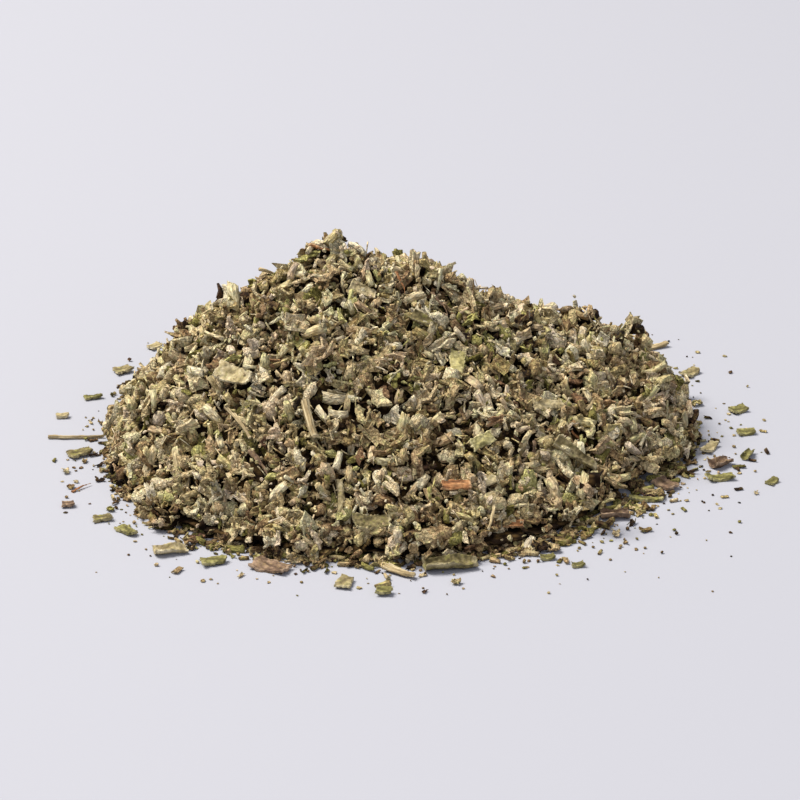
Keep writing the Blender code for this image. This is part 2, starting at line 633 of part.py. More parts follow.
def build():
    """Build the whole part."""
    clear_scene()
    rng = random.Random(SEED)
    materials = make_materials()
    part = make_collection("dried_sage_heap")

    heap, surface = make_core(part, rng)
    on_heap = [(cutting, cutting_bmesh(cutting, rng)) for cutting in ON_HEAP]
    cuttings = []
    for cutting in ON_SURFACE:
        bm = cutting_bmesh(cutting, rng)
        lay_on_surface(cutting, bm)
        cuttings.append((object_from(bm, cutting.name, part), cutting))

    crumbs = make_collection("crumbs")
    scatter_crumbs(crumbs, surface, rng)
    rim_crumbs(crumbs, rng)
    skyline_crumbs(crumbs, surface, rng)
    boolean(heap, "UNION", crumbs)
    keep_main_body(heap)

    crumb_surface = surface_of(heap)
    for cutting, bm in on_heap:
        lay_on_heap(cutting, bm, surface, crumb_surface)
        cuttings.append((object_from(bm, cutting.name, part), cutting))
    for item, cutting in cuttings:
        dress(item, materials[cutting.material])
    pockets = make_collection("pockets")
    for item, _ in cuttings:
        pocket(item, pockets)
    boolean(heap, "DIFFERENCE", pockets)
    keep_main_body(heap)
    dress(heap, materials["grey_leaf"])


build()
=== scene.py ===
"""Looks of a poured heap of dried, cut sage: thousands of curled leaf crumbs over a dark bed of painted
shade, the larger leaf, stem and bark cuttings that lie on it, and the loose ones round its foot."""

from __future__ import annotations

import json
import logging
import math
import random
from collections.abc import Callable, Sequence
from dataclasses import dataclass, field
from enum import Enum

import bmesh
import bpy
import numpy as np
from mathutils import Euler, Matrix, Vector, noise
from mathutils.bvhtree import BVHTree

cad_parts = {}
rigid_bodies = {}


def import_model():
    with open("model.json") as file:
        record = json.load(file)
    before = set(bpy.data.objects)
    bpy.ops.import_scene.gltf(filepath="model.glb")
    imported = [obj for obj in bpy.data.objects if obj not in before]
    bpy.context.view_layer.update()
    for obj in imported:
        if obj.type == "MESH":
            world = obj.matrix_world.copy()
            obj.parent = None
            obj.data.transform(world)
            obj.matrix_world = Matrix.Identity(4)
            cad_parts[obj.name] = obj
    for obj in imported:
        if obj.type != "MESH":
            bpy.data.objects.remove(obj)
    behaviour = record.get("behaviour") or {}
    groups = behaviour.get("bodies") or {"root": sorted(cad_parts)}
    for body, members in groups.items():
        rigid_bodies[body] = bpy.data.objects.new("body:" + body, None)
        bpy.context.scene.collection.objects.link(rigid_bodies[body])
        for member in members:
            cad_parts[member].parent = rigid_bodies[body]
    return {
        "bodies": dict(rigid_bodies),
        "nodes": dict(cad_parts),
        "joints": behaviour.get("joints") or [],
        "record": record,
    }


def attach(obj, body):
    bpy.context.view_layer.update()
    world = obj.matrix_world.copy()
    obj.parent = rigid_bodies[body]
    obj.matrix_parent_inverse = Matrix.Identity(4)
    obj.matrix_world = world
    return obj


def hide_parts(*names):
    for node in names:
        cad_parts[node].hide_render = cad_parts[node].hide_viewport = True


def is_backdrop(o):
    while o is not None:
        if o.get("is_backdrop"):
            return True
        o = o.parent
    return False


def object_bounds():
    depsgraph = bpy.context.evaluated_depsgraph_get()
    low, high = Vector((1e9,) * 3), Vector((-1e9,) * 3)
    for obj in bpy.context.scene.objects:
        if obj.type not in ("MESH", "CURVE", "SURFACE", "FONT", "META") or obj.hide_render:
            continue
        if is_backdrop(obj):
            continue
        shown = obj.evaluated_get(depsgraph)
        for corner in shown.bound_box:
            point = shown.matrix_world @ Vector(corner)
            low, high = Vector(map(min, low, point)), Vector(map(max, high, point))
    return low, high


MM = 0.001
BODY = "root"
LOG = logging.getLogger("sage_heap")

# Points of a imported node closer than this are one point
MERGE = 0.002 * MM
# How low crumbs reach, and how low the heap's bed and the loose crumbs are set, over the surface
CRUMB_FLOOR = 0.03 * MM
BED_FLOOR = 0.02 * MM

# Settings of the nodes that mix two colours, whose inputs are 0 share, 6 below and 7 above
MIX = {"data_type": "RGBA"}
DARKEN = {"data_type": "RGBA", "blend_type": "MULTIPLY"}


def linear(hex_colour: str) -> tuple[float, float, float, float]:
    """Turn a written sRGB colour into the linear values that Blender shades with.

    Args:
        hex_colour: the colour as "#RRGGBB".

    Returns:
        Red, green, blue and an alpha of 1.
    """
    channels = [int(hex_colour[i:i + 2], 16) / 255.0 for i in (1, 3, 5)]
    red, green, blue = (
        c / 12.92 if c <= 0.04045 else ((c + 0.055) / 1.055) ** 2.4 for c in channels
    )
    return (red, green, blue, 1.0)


def add_node(
    tree: bpy.types.NodeTree,
    kind: str,
    settings: dict[str, object] | None = None,
    links: dict[str | int, object] | None = None,
) -> bpy.types.Node:
    """Add one node with its settings and its inputs.

    Args:
        tree: the node tree that it goes in.
        kind: the node's type name.
        settings: properties of the node itself.
        links: for each input, by name or place, the output socket that feeds it or its plain value.

    Returns:
        The new node.
    """
    node = tree.nodes.new(kind)
    for name, value in (settings or {}).items():
        setattr(node, name, value)
    for name, value in (links or {}).items():
        socket = node.inputs[name]
        if isinstance(value, bpy.types.NodeSocket):
            tree.links.new(value, socket)
        else:
            socket.default_value = value
    return node


def set_ramp(node: bpy.types.Node, stops: Sequence[tuple[float, str]]) -> None:
    """Give a colour ramp its stops.

    Args:
        node: the colour ramp node.
        stops: the place and written colour of each stop, from low to high.
    """
    ramp = node.color_ramp
    while len(ramp.elements) > 1:
        ramp.elements.remove(ramp.elements[-1])
    ramp.elements[0].position = stops[0][0]
    ramp.elements[0].color = linear(stops[0][1])
    for place, colour in stops[1:]:
        ramp.elements.new(place).color = linear(colour)


def object_from(bm: bmesh.types.BMesh, name: str) -> bpy.types.Object:
    """Turn a bmesh into a named object that isn't in the scene yet.

    Args:
        bm: the shape, which is freed.
        name: the object's name.

    Returns:
        The new object.
    """
    mesh = bpy.data.meshes.new(name)
    bm.to_mesh(mesh)
    bm.free()
    return bpy.data.objects.new(name, mesh)


def add_to_scene(item: bpy.types.Object) -> bpy.types.Object:
    """Link an object to the scene and return it."""
    bpy.context.scene.collection.objects.link(item)
    return item


def joined_copy(pieces: Sequence[bpy.types.Object]) -> bpy.types.Object:
    """Join copies of some pieces into one helper that isn't in the scene."""
    bm = bmesh.new()
    for piece in pieces:
        bm.from_mesh(piece.data)
    return object_from(bm, "joined_helper")


def count_triangles(item: bpy.types.Object) -> int:
    """Return how many triangles an object's mesh has."""
    return sum(len(face.vertices) - 2 for face in item.data.polygons)


def evaluated_mesh(item: bpy.types.Object) -> bpy.types.Mesh:
    """Return a plain mesh of an object with its modifiers worked out."""
    graph = bpy.context.evaluated_depsgraph_get()
    return bpy.data.meshes.new_from_object(item.evaluated_get(graph))


def even_mesh(source: bpy.types.Object, name: str, cell: float, soften: int) -> bpy.types.Mesh:
    """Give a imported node's shape an even, closed mesh with softened corners.

    Args:
        source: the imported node, which isn't changed.
        name: the new mesh's name.
        cell: how wide the new mesh's cells are.
        soften: how often it is smoothed.

    Returns:
        The new mesh.
    """
    bm = bmesh.new()
    bm.from_mesh(source.data)
    bmesh.ops.remove_doubles(bm, verts=bm.verts, dist=MERGE)
    item = add_to_scene(object_from(bm, name))
    grid = item.modifiers.new("grid", "REMESH")
    grid.mode = "VOXEL"
    grid.voxel_size = cell
    item.modifiers.new("soften", "SMOOTH").iterations = soften
    mesh = evaluated_mesh(item)
    bpy.data.objects.remove(item, do_unlink=True)
    return mesh


def face_tree(mesh: bpy.types.Mesh) -> BVHTree:
    """Return a mesh's faces in a form that finds the struck or the nearest one."""
    faces = [list(face.vertices) for face in mesh.polygons]
    return BVHTree.FromPolygons([vert.co for vert in mesh.vertices], faces)


def dress(mesh: bpy.types.Mesh, material: bpy.types.Material) -> None:
    """Give a mesh its one material and smooth shading."""
    mesh.materials.clear()
    mesh.materials.append(material)
    mesh.polygons.foreach_set("use_smooth", [True] * len(mesh.polygons))


def start_material(
    name: str, roughness: float, specular: float
) -> tuple[bpy.types.Material, bpy.types.Node]:
    """Start a material.

    Args:
        name: its plain name.
        roughness: its roughness, the same all over.
        specular: its specular level, the same all over.

    Returns:
        The material and its shader node.
    """
    material = bpy.data.materials.new(name)
    material.use_nodes = True
    shader = material.node_tree.nodes["Principled BSDF"]
    shader.inputs["Roughness"].default_value = roughness
    shader.inputs["Specular IOR Level"].default_value = specular
    return material, shader


def hand_over(piece: bpy.types.Object, node: str = "") -> None:
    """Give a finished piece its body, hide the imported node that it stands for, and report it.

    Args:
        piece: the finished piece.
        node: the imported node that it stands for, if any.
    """
    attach(piece, BODY)
    if node:
        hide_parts(node)
    LOG.info("%s: %d triangles", piece.name, count_triangles(piece))


# Finishes


@dataclass(frozen=True)
class CrumbFelt:
    """Dried leaf crumbs: each its own shade of khaki, some yellow-green, a few of bark, with painted shade in
    their veins and creases.

    It reads six attributes of the crumbs: tone (dark to pale, partly painted shade), hue (which of the three
    families), edge (1 along a cut or rolled edge), fibre (1 on rolled leaf and stalks), span (the crumb's
    length) and own (the point's place on the crumb's form).
    """

    name: str = "dried_sage_crumbs"
    # Felted leaf, from the dark outer side to the cream underside; its darkest, near-black stops are painted
    # shade, taken by the bed crumbs and the crumbs between clumps
    leaf: tuple[tuple[float, str], ...] = (
        (0.0, "#24160B"), (0.14, "#533B25"), (0.32, "#977C59"), (0.52, "#CAB289"),
        (0.72, "#E2CDA9"), (0.87, "#EDDDC0"), (1.0, "#F3E8D2"),
    )
    # Crumbs that dried while still green
    green: tuple[tuple[float, str], ...] = (
        (0.0, "#3A3416"), (0.4, "#767039"), (0.75, "#B0A968"), (1.0, "#D8D19E"),
    )
    # Bits of bark and rusty leaf
    bark: tuple[tuple[float, str], ...] = (
        (0.0, "#35241B"), (0.4, "#654A38"), (0.75, "#937050"), (1.0, "#BC9A72"),
    )
    # The slight cast of single crumbs, from yellow-green over plain to greyish mauve
    cast: tuple[tuple[float, str], ...] = (
        (0.07, "#F5F8D8"), (0.35, "#FDFFF2"), (0.6, "#FEFEF6"), (0.85, "#FFF9F2"), (0.98, "#F2E8E4"),
    )
    edge_cream: str = "#EADFBE"
    # Which of the hues are green and which are bark
    green_below: float = 0.07
    bark_above: float = 0.988
    # Sage leaf is pebbled: raised cells about half a millimetre wide between its net of veins
    pebble: float = 0.54 * MM
    # Creases of the shrivelled blade, patches of shade, and the wool, drawn coarse enough to show
    fold: float = 1.3 * MM
    mottle: float = 1.0 * MM
    wool: float = 0.26 * MM
    bump: float = 0.36 * MM
    # How much longer than wide the pebbles are on rolled leaf and stalks
    fibre_stretch: float = 2.6
    # How far a crumb's shade swings, how much green shows through and how green a green crumb is
    swing: float = 0.26
    green_through: float = 0.65
    greenness: float = 0.8
    # How much cream lies along an edge
    worn: float = 0.75
    # How light the leaf is on a pebble and in a vein and a crease, painted light on the raised cells and
    # painted shade in the sunken veins and creases, and in and on the wool
    pebble_painted_light: float = 1.05
    vein_painted_shade: float = 0.6
    crease_painted_shade: float = 0.55
    wool_light: tuple[float, float] = (0.84, 1.16)
    wool_height: float = 0.45
    # Dried, woolly leaf is matt
    roughness: float = 0.88
    specular: float = 0.25

    def make(self) -> bpy.types.Material:
        """Build the material and return it."""
        material, shader = start_material(self.name, self.roughness, self.specular)
        tree = material.node_tree
        tone, hue, edge, fibre, span = (
            add_node(tree, "ShaderNodeAttribute", {"attribute_name": name}).outputs["Fac"]
            for name in ("tone", "hue", "edge", "fibre", "span")
        )
        own = add_node(tree, "ShaderNodeAttribute", {"attribute_name": "own"}).outputs["Vector"]
        place, along = self.crumb_places(tree, own, span, tone, fibre)

        # Soft patches, so that one crumb is never one flat shade
        mottle = add_node(tree, "ShaderNodeTexNoise", {}, {
            "Vector": place, "Scale": 1.0 / self.mottle, "Detail": 3.0, "Roughness": 0.6,
        }).outputs["Fac"]
        swing = add_node(tree, "ShaderNodeMapRange", {}, {
            "Value": mottle, "From Min": 0.3, "From Max": 0.7, "To Min": -self.swing, "To Max": self.swing,
        }).outputs["Result"]
        shade = add_node(tree, "ShaderNodeMath", {"operation": "ADD", "use_clamp": True},
                         {0: tone, 1: swing}).outputs[0]
        colours = []
        for fac, stops in ((shade, self.leaf), (shade, self.green), (shade, self.bark), (hue, self.cast)):
            ramp = add_node(tree, "ShaderNodeValToRGB", {}, {"Fac": fac})
            set_ramp(ramp, stops)
            colours.append(ramp.outputs["Color"])
        leaf, green, bark, cast = colours

        # Green that shows through the felt in patches, whatever the crumb
        patch = add_node(tree, "ShaderNodeTexNoise", {}, {
            "Vector": place, "Scale": 1.0 / self.mottle, "Detail": 2.0,
        }).outputs["Fac"]
        through = add_node(tree, "ShaderNodeMapRange", {}, {
            "Value": patch, "From Min": 0.53, "From Max": 0.65, "To Min": 0.0, "To Max": self.green_through,
        }).outputs["Result"]
        colour = add_node(tree, "ShaderNodeMix", MIX, {0: through, 6: leaf, 7: green}).outputs[2]
        is_green = add_node(tree, "ShaderNodeMath", {"operation": "LESS_THAN"},
                            {0: hue, 1: self.green_below}).outputs[0]
        is_green = add_node(tree, "ShaderNodeMath", {"operation": "MULTIPLY"},
                            {0: is_green, 1: self.greenness}).outputs[0]
        colour = add_node(tree, "ShaderNodeMix", MIX, {0: is_green, 6: colour, 7: green}).outputs[2]
        colour = add_node(tree, "ShaderNodeMix", DARKEN, {0: 1.0, 6: colour, 7: cast}).outputs[2]
        is_bark = add_node(tree, "ShaderNodeMath", {"operation": "GREATER_THAN"},
                           {0: hue, 1: self.bark_above}).outputs[0]
        colour = add_node(tree, "ShaderNodeMix", MIX, {0: is_bark, 6: colour, 7: bark}).outputs[2]

        # Cream along cut edges, where the woolly underside shows
        worn = add_node(tree, "ShaderNodeMapRange", {}, {
            "Value": edge, "From Min": 0.6, "From Max": 1.0, "To Min": 0.0, "To Max": self.worn,
        }).outputs["Result"]
        colour = add_node(tree, "ShaderNodeMix", MIX,
                          {0: worn, 6: colour, 7: linear(self.edge_cream)}).outputs[2]

        # The pebbled leaf: soft raised cells between sunken veins, with a little painted light on the cells
        # and painted shade in the veins; the same pattern is also the bump
        cells = add_node(tree, "ShaderNodeTexVoronoi", {"feature": "SMOOTH_F1"}, {
            "Vector": along, "Scale": 1.0 / self.pebble, "Smoothness": 0.4, "Randomness": 1.0,
        }).outputs["Distance"]
        vein_shade_and_relief = add_node(tree, "ShaderNodeMapRange", {}, {
            "Value": cells, "From Min": 0.15, "From Max": 0.6, "To Min": self.pebble_painted_light,
            "To Max": self.vein_painted_shade,
        }).outputs["Result"]
        swirl = add_node(tree, "ShaderNodeTexNoise", {}, {
            "Vector": along, "Scale": 1.0 / self.fold, "Detail": 2.0, "Distortion": 1.0,
        }).outputs["Fac"]
        off_fold = add_node(tree, "ShaderNodeMath", {"operation": "SUBTRACT"}, {0: swirl, 1: 0.5}).outputs[0]
        off_fold = add_node(tree, "ShaderNodeMath", {"operation": "ABSOLUTE"}, {0: off_fold}).outputs[0]
        # Painted shade along the creases of the shrivelled blade
        fold = add_node(tree, "ShaderNodeMapRange", {}, {
            "Value": off_fold, "From Min": 0.0, "From Max": 0.06, "To Min": self.crease_painted_shade, "To Max": 1.0,
        }).outputs["Result"]
        vein_shade_and_relief = add_node(tree, "ShaderNodeMath", {"operation": "MULTIPLY"}, {0: vein_shade_and_relief, 1: fold}).outputs[0]
        colour = add_node(tree, "ShaderNodeMix", DARKEN, {0: 1.0, 6: colour, 7: vein_shade_and_relief}).outputs[2]
        wool = add_node(tree, "ShaderNodeTexNoise", {}, {
            "Vector": along, "Scale": 1.0 / self.wool, "Detail": 2.0,
        }).outputs["Fac"]
        grain = add_node(tree, "ShaderNodeMapRange", {}, {
            "Value": wool, "From Min": 0.35, "From Max": 0.65, "To Min": self.wool_light[0],
            "To Max": self.wool_light[1],
        }).outputs["Result"]
        colour = add_node(tree, "ShaderNodeMix", DARKEN, {0: 1.0, 6: colour, 7: grain}).outputs[2]
        tree.links.new(colour, shader.inputs["Base Color"])
        height = add_node(tree, "ShaderNodeMath", {"operation": "MULTIPLY_ADD"},
                          {0: wool, 1: self.wool_height, 2: vein_shade_and_relief}).outputs[0]
        bump = add_node(tree, "ShaderNodeBump", {}, {
            "Height": height, "Strength": 1.0, "Distance": self.bump,
        })
        tree.links.new(bump.outputs["Normal"], shader.inputs["Normal"])
        return material

    def crumb_places(
        self, tree: bpy.types.NodeTree, own: bpy.types.NodeSocket, span: bpy.types.NodeSocket,
        tone: bpy.types.NodeSocket, fibre: bpy.types.NodeSocket,
    ) -> tuple[bpy.types.NodeSocket, bpy.types.NodeSocket]:
        """Place the patterns on each crumb's own shape, so that they turn and lie as it does.

        Args:
            tree: the material's tree.
            own: the point on the crumb's form, about one unit long.
            span: the crumb's length.
            tone: its shade, which also tells crumbs apart.
            fibre: 1 where it is rolled leaf or stalk.

        Returns:
            The place on the crumb in metres, and the same drawn out along its fibres.
        """
        sized = add_node(tree, "ShaderNodeVectorMath", {"operation": "SCALE"},
                         {0: own, "Scale": span}).outputs[0]
        apart = add_node(tree, "ShaderNodeMath", {"operation": "MULTIPLY"}, {0: tone, 1: 0.7}).outputs[0]
        place = add_node(tree, "ShaderNodeVectorMath", {"operation": "ADD"}, {0: sized, 1: apart}).outputs[0]
        drawn = add_node(tree, "ShaderNodeMath", {"operation": "MULTIPLY_ADD"},
                         {0: fibre, 1: 1.0 / self.fibre_stretch - 1.0, 2: 1.0}).outputs[0]
        squeeze = add_node(tree, "ShaderNodeCombineXYZ", {}, {0: drawn, 1: 1.0, 2: 1.0}).outputs[0]
        along = add_node(tree, "ShaderNodeVectorMath", {"operation": "MULTIPLY"},
                         {0: place, 1: squeeze}).outputs[0]
        return place, along


@dataclass(frozen=True)
class CuttingFinish:
    """One larger cutting's surface: felted leaf, fibrous stem or flaky bark.

    It reads two attributes of the cutting: grain (its own length, width and thickness directions, in
    metres) and rim (1 along a cut edge).
    """

    name: str
    dark: str
    middle: str
    light: str
    rim_colour: str
    # Cells of the leaf's net of veins, or the width of a stem's fibres
    cell: float = 0.7 * MM
    # 1 for round cells, more for fibres that run lengthwise
    stretch: float = 1.0
    # How much painted shade darkens the veins of leaf and bark and the gaps between a stem's fibres
    painted_vein_shade: float = 0.5
    bump: float = 0.12 * MM
    fleck: str = "#8A8B3C"
    fleck_share: float = 0.3
    # How much of the rim's colour lies along a cut edge, and how high wool or fibre stands
    rim_share: float = 0.4
    wool_height: float = 0.4
    roughness: float = 0.88
    specular: float = 0.25

    def make(self) -> bpy.types.Material:
        """Build the material and return it."""
        material, shader = start_material(self.name, self.roughness, self.specular)
        tree = material.node_tree
        grain = add_node(tree, "ShaderNodeAttribute", {"attribute_name": "grain"}).outputs["Vector"]
        rim = add_node(tree, "ShaderNodeAttribute", {"attribute_name": "rim"}).outputs["Fac"]
        along = add_node(tree, "ShaderNodeMapping", {}, {
            "Vector": grain, "Scale": (1.0 / self.stretch, 1.0, 1.0),
        }).outputs["Vector"]

        # Patches of shade over the whole cutting
        patch = add_node(tree, "ShaderNodeTexNoise", {}, {
            "Vector": along, "Scale": 0.5 / self.cell, "Detail": 4.0, "Roughness": 0.65,
        }).outputs["Fac"]
        ramp = add_node(tree, "ShaderNodeValToRGB", {}, {"Fac": patch})
        set_ramp(ramp, ((0.3, self.dark), (0.5, self.middle), (0.7, self.light)))
        colour = ramp.outputs["Color"]

        # Green or rusty flecks
        spot = add_node(tree, "ShaderNodeTexNoise", {}, {
            "Vector": grain, "Scale": 0.9 / self.cell, "Detail": 2.0,
        }).outputs["Fac"]
        flecked = add_node(tree, "ShaderNodeMapRange", {}, {
            "Value": spot, "From Min": 0.55, "From Max": 0.68, "To Min": 0.0, "To Max": self.fleck_share,
        }).outputs["Result"]
        colour = add_node(tree, "ShaderNodeMix", MIX,
                          {0: flecked, 6: colour, 7: linear(self.fleck)}).outputs[2]

        # Raised cells between sunken veins, or ridges between fibres, with painted shade in the veins and
        # between the fibres
        cells = add_node(tree, "ShaderNodeTexVoronoi", {"feature": "F1"}, {
            "Vector": along, "Scale": 1.0 / self.cell,
        }).outputs["Distance"]
        vein_shade_and_relief = add_node(tree, "ShaderNodeMapRange", {}, {
            "Value": cells, "From Min": 0.3, "From Max": 0.85, "To Min": 1.0,
            "To Max": 1.0 - self.painted_vein_shade,
        }).outputs["Result"]
        colour = add_node(tree, "ShaderNodeMix", DARKEN, {0: 1.0, 6: colour, 7: vein_shade_and_relief}).outputs[2]
        worn = add_node(tree, "ShaderNodeMath", {"operation": "MULTIPLY"},
                        {0: rim, 1: self.rim_share}).outputs[0]
        colour = add_node(tree, "ShaderNodeMix", MIX,
                          {0: worn, 6: colour, 7: linear(self.rim_colour)}).outputs[2]
        tree.links.new(colour, shader.inputs["Base Color"])

        # Fine wool or fibre under the cells
        wool = add_node(tree, "ShaderNodeTexNoise", {}, {
            "Vector": along, "Scale": 4.0 / self.cell, "Detail": 2.0,
        }).outputs["Fac"]
        height = add_node(tree, "ShaderNodeMath", {"operation": "MULTIPLY_ADD"},
                          {0: wool, 1: self.wool_height, 2: vein_shade_and_relief}).outputs[0]
        bump = add_node(tree, "ShaderNodeBump", {}, {
            "Height": height, "Strength": 0.7, "Distance": self.bump,
        })
        tree.links.new(bump.outputs["Normal"], shader.inputs["Normal"])
        return material


@dataclass(frozen=True)
class PaintedShadeBedFinish:
    """Painted shade: the near-black mass of crumbs deep in the heap, where only shade is seen through the
    gaps.
    """

    name: str = "shaded_inner_crumbs"
    dark: str = "#180E06"
    light: str = "#4E3C22"
    cell: float = 1.6 * MM
    bump: float = 0.5 * MM
    roughness: float = 0.95
    specular: float = 0.1

    def make(self) -> bpy.types.Material:
        """Build the material and return it."""
        material, shader = start_material(self.name, self.roughness, self.specular)
        tree = material.node_tree
        place = add_node(tree, "ShaderNodeTexCoord").outputs["Object"]
        cells = add_node(tree, "ShaderNodeTexVoronoi", {"feature": "F1"}, {
            "Vector": place, "Scale": 1.0 / self.cell,
        })
        # Painted shade: a little lighter in the middle of each cell and near black between cells
        ramp = add_node(tree, "ShaderNodeValToRGB", {}, {"Fac": cells.outputs["Distance"]})
        set_ramp(ramp, ((0.1, self.light), (0.6, self.dark)))
        tree.links.new(ramp.outputs["Color"], shader.inputs["Base Color"])
        bump = add_node(tree, "ShaderNodeBump", {"invert": True}, {
            "Height": cells.outputs["Distance"], "Strength": 0.8, "Distance": self.bump,
        })
        tree.links.new(bump.outputs["Normal"], shader.inputs["Normal"])
        return material


# One finish for each of the record's material slots
CUTTING_FINISHES = {
    "grey_leaf": CuttingFinish(
        "grey_green_felted_leaf", "#5C5135", "#8C7F5C", "#B8AA84", "#DDD2AE", fleck_share=0.4,
    ),
    "pale_leaf": CuttingFinish(
        "cream_felted_underside", "#80724C", "#AFA07A", "#D2C5A2", "#E6DCC0", painted_vein_shade=0.42,
        fleck="#928A48", fleck_share=0.5,
    ),
    "dark_leaf": CuttingFinish(
        "dark_felted_leaf", "#453D26", "#756A47", "#9A8D68", "#D2C5A0", fleck_share=0.5,
    ),
    "olive_leaf": CuttingFinish(
        "olive_leaf", "#454022", "#767143", "#A29B6A", "#C8BE94", fleck="#8E8B46", fleck_share=0.5,
    ),
    "yellow_leaf": CuttingFinish(
        "yellow_green_leaf", "#857C48", "#B5AB73", "#D6CC9C", "#E6DDB8", painted_vein_shade=0.45,
        fleck="#B0A650", fleck_share=0.5,
    ),
    "straw_stem": CuttingFinish(
        "straw_stem", "#7A6848", "#AF9C76", "#D9CAA4", "#EADDBB", cell=0.34 * MM, stretch=9.0,
        painted_vein_shade=0.5, fleck="#83653F", fleck_share=0.35, roughness=0.75,
    ),
    "orange_bark": CuttingFinish(
        "orange_bark", "#5A3820", "#9C6A42", "#C99A6C", "#D8BC94", cell=0.5 * MM, stretch=3.0,
        painted_vein_shade=0.5, fleck="#5A3A26", fleck_share=0.6, roughness=0.8,
    ),
    "brown_bark": CuttingFinish(
        "dark_brown_bark", "#43332A", "#78614E", "#A88E76", "#C2AA90", cell=0.6 * MM, stretch=1.6,
        painted_vein_shade=0.5, fleck="#8F7A4A", fleck_share=0.35, roughness=0.85,
    ),
}


# Crumb shapes


class CrumbKind(Enum):
    """The forms that dried sage crumbles into."""

    KNOB = "knob"
    CRUMPLE = "crumple"
    CHIP = "chip"
    CURL = "curl"
    ROLL = "roll"
    RIB = "rib"
    FLAKE = "flake"
    GRAIN = "grain"


# The forms whose pebbles are drawn out lengthwise
FIBROUS = (CrumbKind.ROLL, CrumbKind.RIB)


@dataclass
class CrumbShapes:
    """A small library of crumb forms, each about one unit long round its own middle.

    The bare numbers in its forms are shares of that unit.
    """

    seed: int = 7
    per_kind: int = 6
    resting: bool = False
    rng: random.Random = field(init=False)

    def __post_init__(self) -> None:
        """Seed the shapes."""
        self.rng = random.Random(self.seed)

    def make(self, name: str, kinds: Sequence[CrumbKind]) -> bpy.types.Collection:
        """Build a collection of variants.

        Args:
            name: the collection's name.
            kinds: the kinds that it holds, each as often as it is listed.

        Returns:
            The collection, which isn't in the scene.
        """
        makers: dict[CrumbKind, Callable[[], bmesh.types.BMesh]] = {
            CrumbKind.KNOB: self.knob, CrumbKind.CRUMPLE: self.crumple, CrumbKind.CHIP: self.chip,
            CrumbKind.CURL: self.curl, CrumbKind.ROLL: self.roll, CrumbKind.RIB: self.rib,
            CrumbKind.FLAKE: self.flake, CrumbKind.GRAIN: self.grain,
        }
        collection = bpy.data.collections.new(name)
        for kind in kinds:
            for _ in range(self.per_kind):
                bm = makers[kind]()
                bmesh.ops.recalc_face_normals(bm, faces=bm.faces)
                self.unwrap(bm)
                if self.resting:
                    low = min(vert.co.z for vert in bm.verts)
                    bmesh.ops.translate(bm, verts=bm.verts, vec=(0.0, 0.0, -low))
                self.mark_own_place(bm, kind)
                item = object_from(bm, f"{name}_{len(collection.objects):03d}_{kind.value}")
                smooth = kind not in (CrumbKind.FLAKE, CrumbKind.GRAIN)
                item.data.polygons.foreach_set("use_smooth", [smooth] * len(item.data.polygons))
                collection.objects.link(item)
        return collection

    @staticmethod
    def mark_own_place(bm: bmesh.types.BMesh, kind: CrumbKind) -> None:
        """Store each point's place on the form, and whether the form is fibrous."""
        own = bm.verts.layers.float_vector.new("own")
        fibre = bm.verts.layers.float.new("fibre")
        for vert in bm.verts:
            vert[own] = vert.co
            vert[fibre] = float(kind in FIBROUS)

    @staticmethod
    def mark_edges(bm: bmesh.types.BMesh, marks: dict[bmesh.types.BMVert, float]) -> None:
        """Store how close each point is to a cut edge, from 0 to 1."""
        layer = bm.verts.layers.float.new("edge")
        for vert in bm.verts:
            vert[layer] = marks.get(vert, 0.0)

    @staticmethod
    def unwrap(bm: bmesh.types.BMesh) -> None:
        """Lay a crumb's outer and inner side next to each other in its own square of texture."""
        layer = bm.loops.layers.uv.new("OFBake")
        xs = [vert.co.x for vert in bm.verts]
        ys = [vert.co.y for vert in bm.verts]
        low_x, low_y = min(xs), min(ys)
        wide, deep = max(max(xs) - low_x, 1e-9), max(max(ys) - low_y, 1e-9)
        for face in bm.faces:
            face.normal_update()
            side = 0.0 if face.normal.z >= 0.0 else 0.5
            for loop in face.loops:
                u = (loop.vert.co.x - low_x) / wide
                v = (loop.vert.co.y - low_y) / deep
                loop[layer].uv = (0.04 + 0.92 * u, side + 0.03 + 0.44 * v)

    @staticmethod
    def rough(spot: Vector, wave: float, shift: float) -> float:
        """Return smooth noise from -1 to 1 at a point."""
        return noise.noise(spot / wave + Vector((shift, -shift, 0.5 * shift)))

    @staticmethod
    def bridge(bm: bmesh.types.BMesh, rings: Sequence[Sequence[bmesh.types.BMVert]]) -> None:
        """Close the sides between rings of points that follow each other."""
        for ring, ahead in zip(rings, rings[1:]):
            for i in range(len(ring)):
                k = (i + 1) % len(ring)
                bm.faces.new((ring[i], ring[k], ahead[k], ahead[i]))

    def knob(self) -> bmesh.types.BMesh:
        """A crumpled, felted lump of leaf."""
        bm = bmesh.new()
        bmesh.ops.create_icosphere(bm, subdivisions=2, radius=0.42)
        shift = self.rng.uniform(0.0, 50.0)
        shape = Vector((
            self.rng.uniform(0.95, 1.35), self.rng.uniform(0.6, 0.95), self.rng.uniform(0.4, 0.75),
        ))
        for vert in bm.verts:
            crease = 0.35 - 1.5 * abs(self.rough(vert.co, 0.3, shift + 20.0))
            out = 0.95 + 0.6 * self.rough(vert.co, 0.45, shift) + crease
            out += 0.5 * self.rough(vert.co, 0.13, shift)
            vert.co = vert.co * shape * max(out, 0.3)
        marks = {vert: 0.7 * (self.rough(vert.co, 0.2, shift + 9.0) > 0.28) for vert in bm.verts}
        self.mark_edges(bm, marks)
        return bm

    def crumple(self) -> bmesh.types.BMesh:
        """A scrap of leaf blade shrivelled into folds."""
        turn = math.radians(self.rng.uniform(35.0, 100.0))
        radius = self.rng.uniform(0.22, 0.38)
        shift = self.rng.uniform(0.0, 50.0)
        slant = self.rng.uniform(-0.3, 0.3)

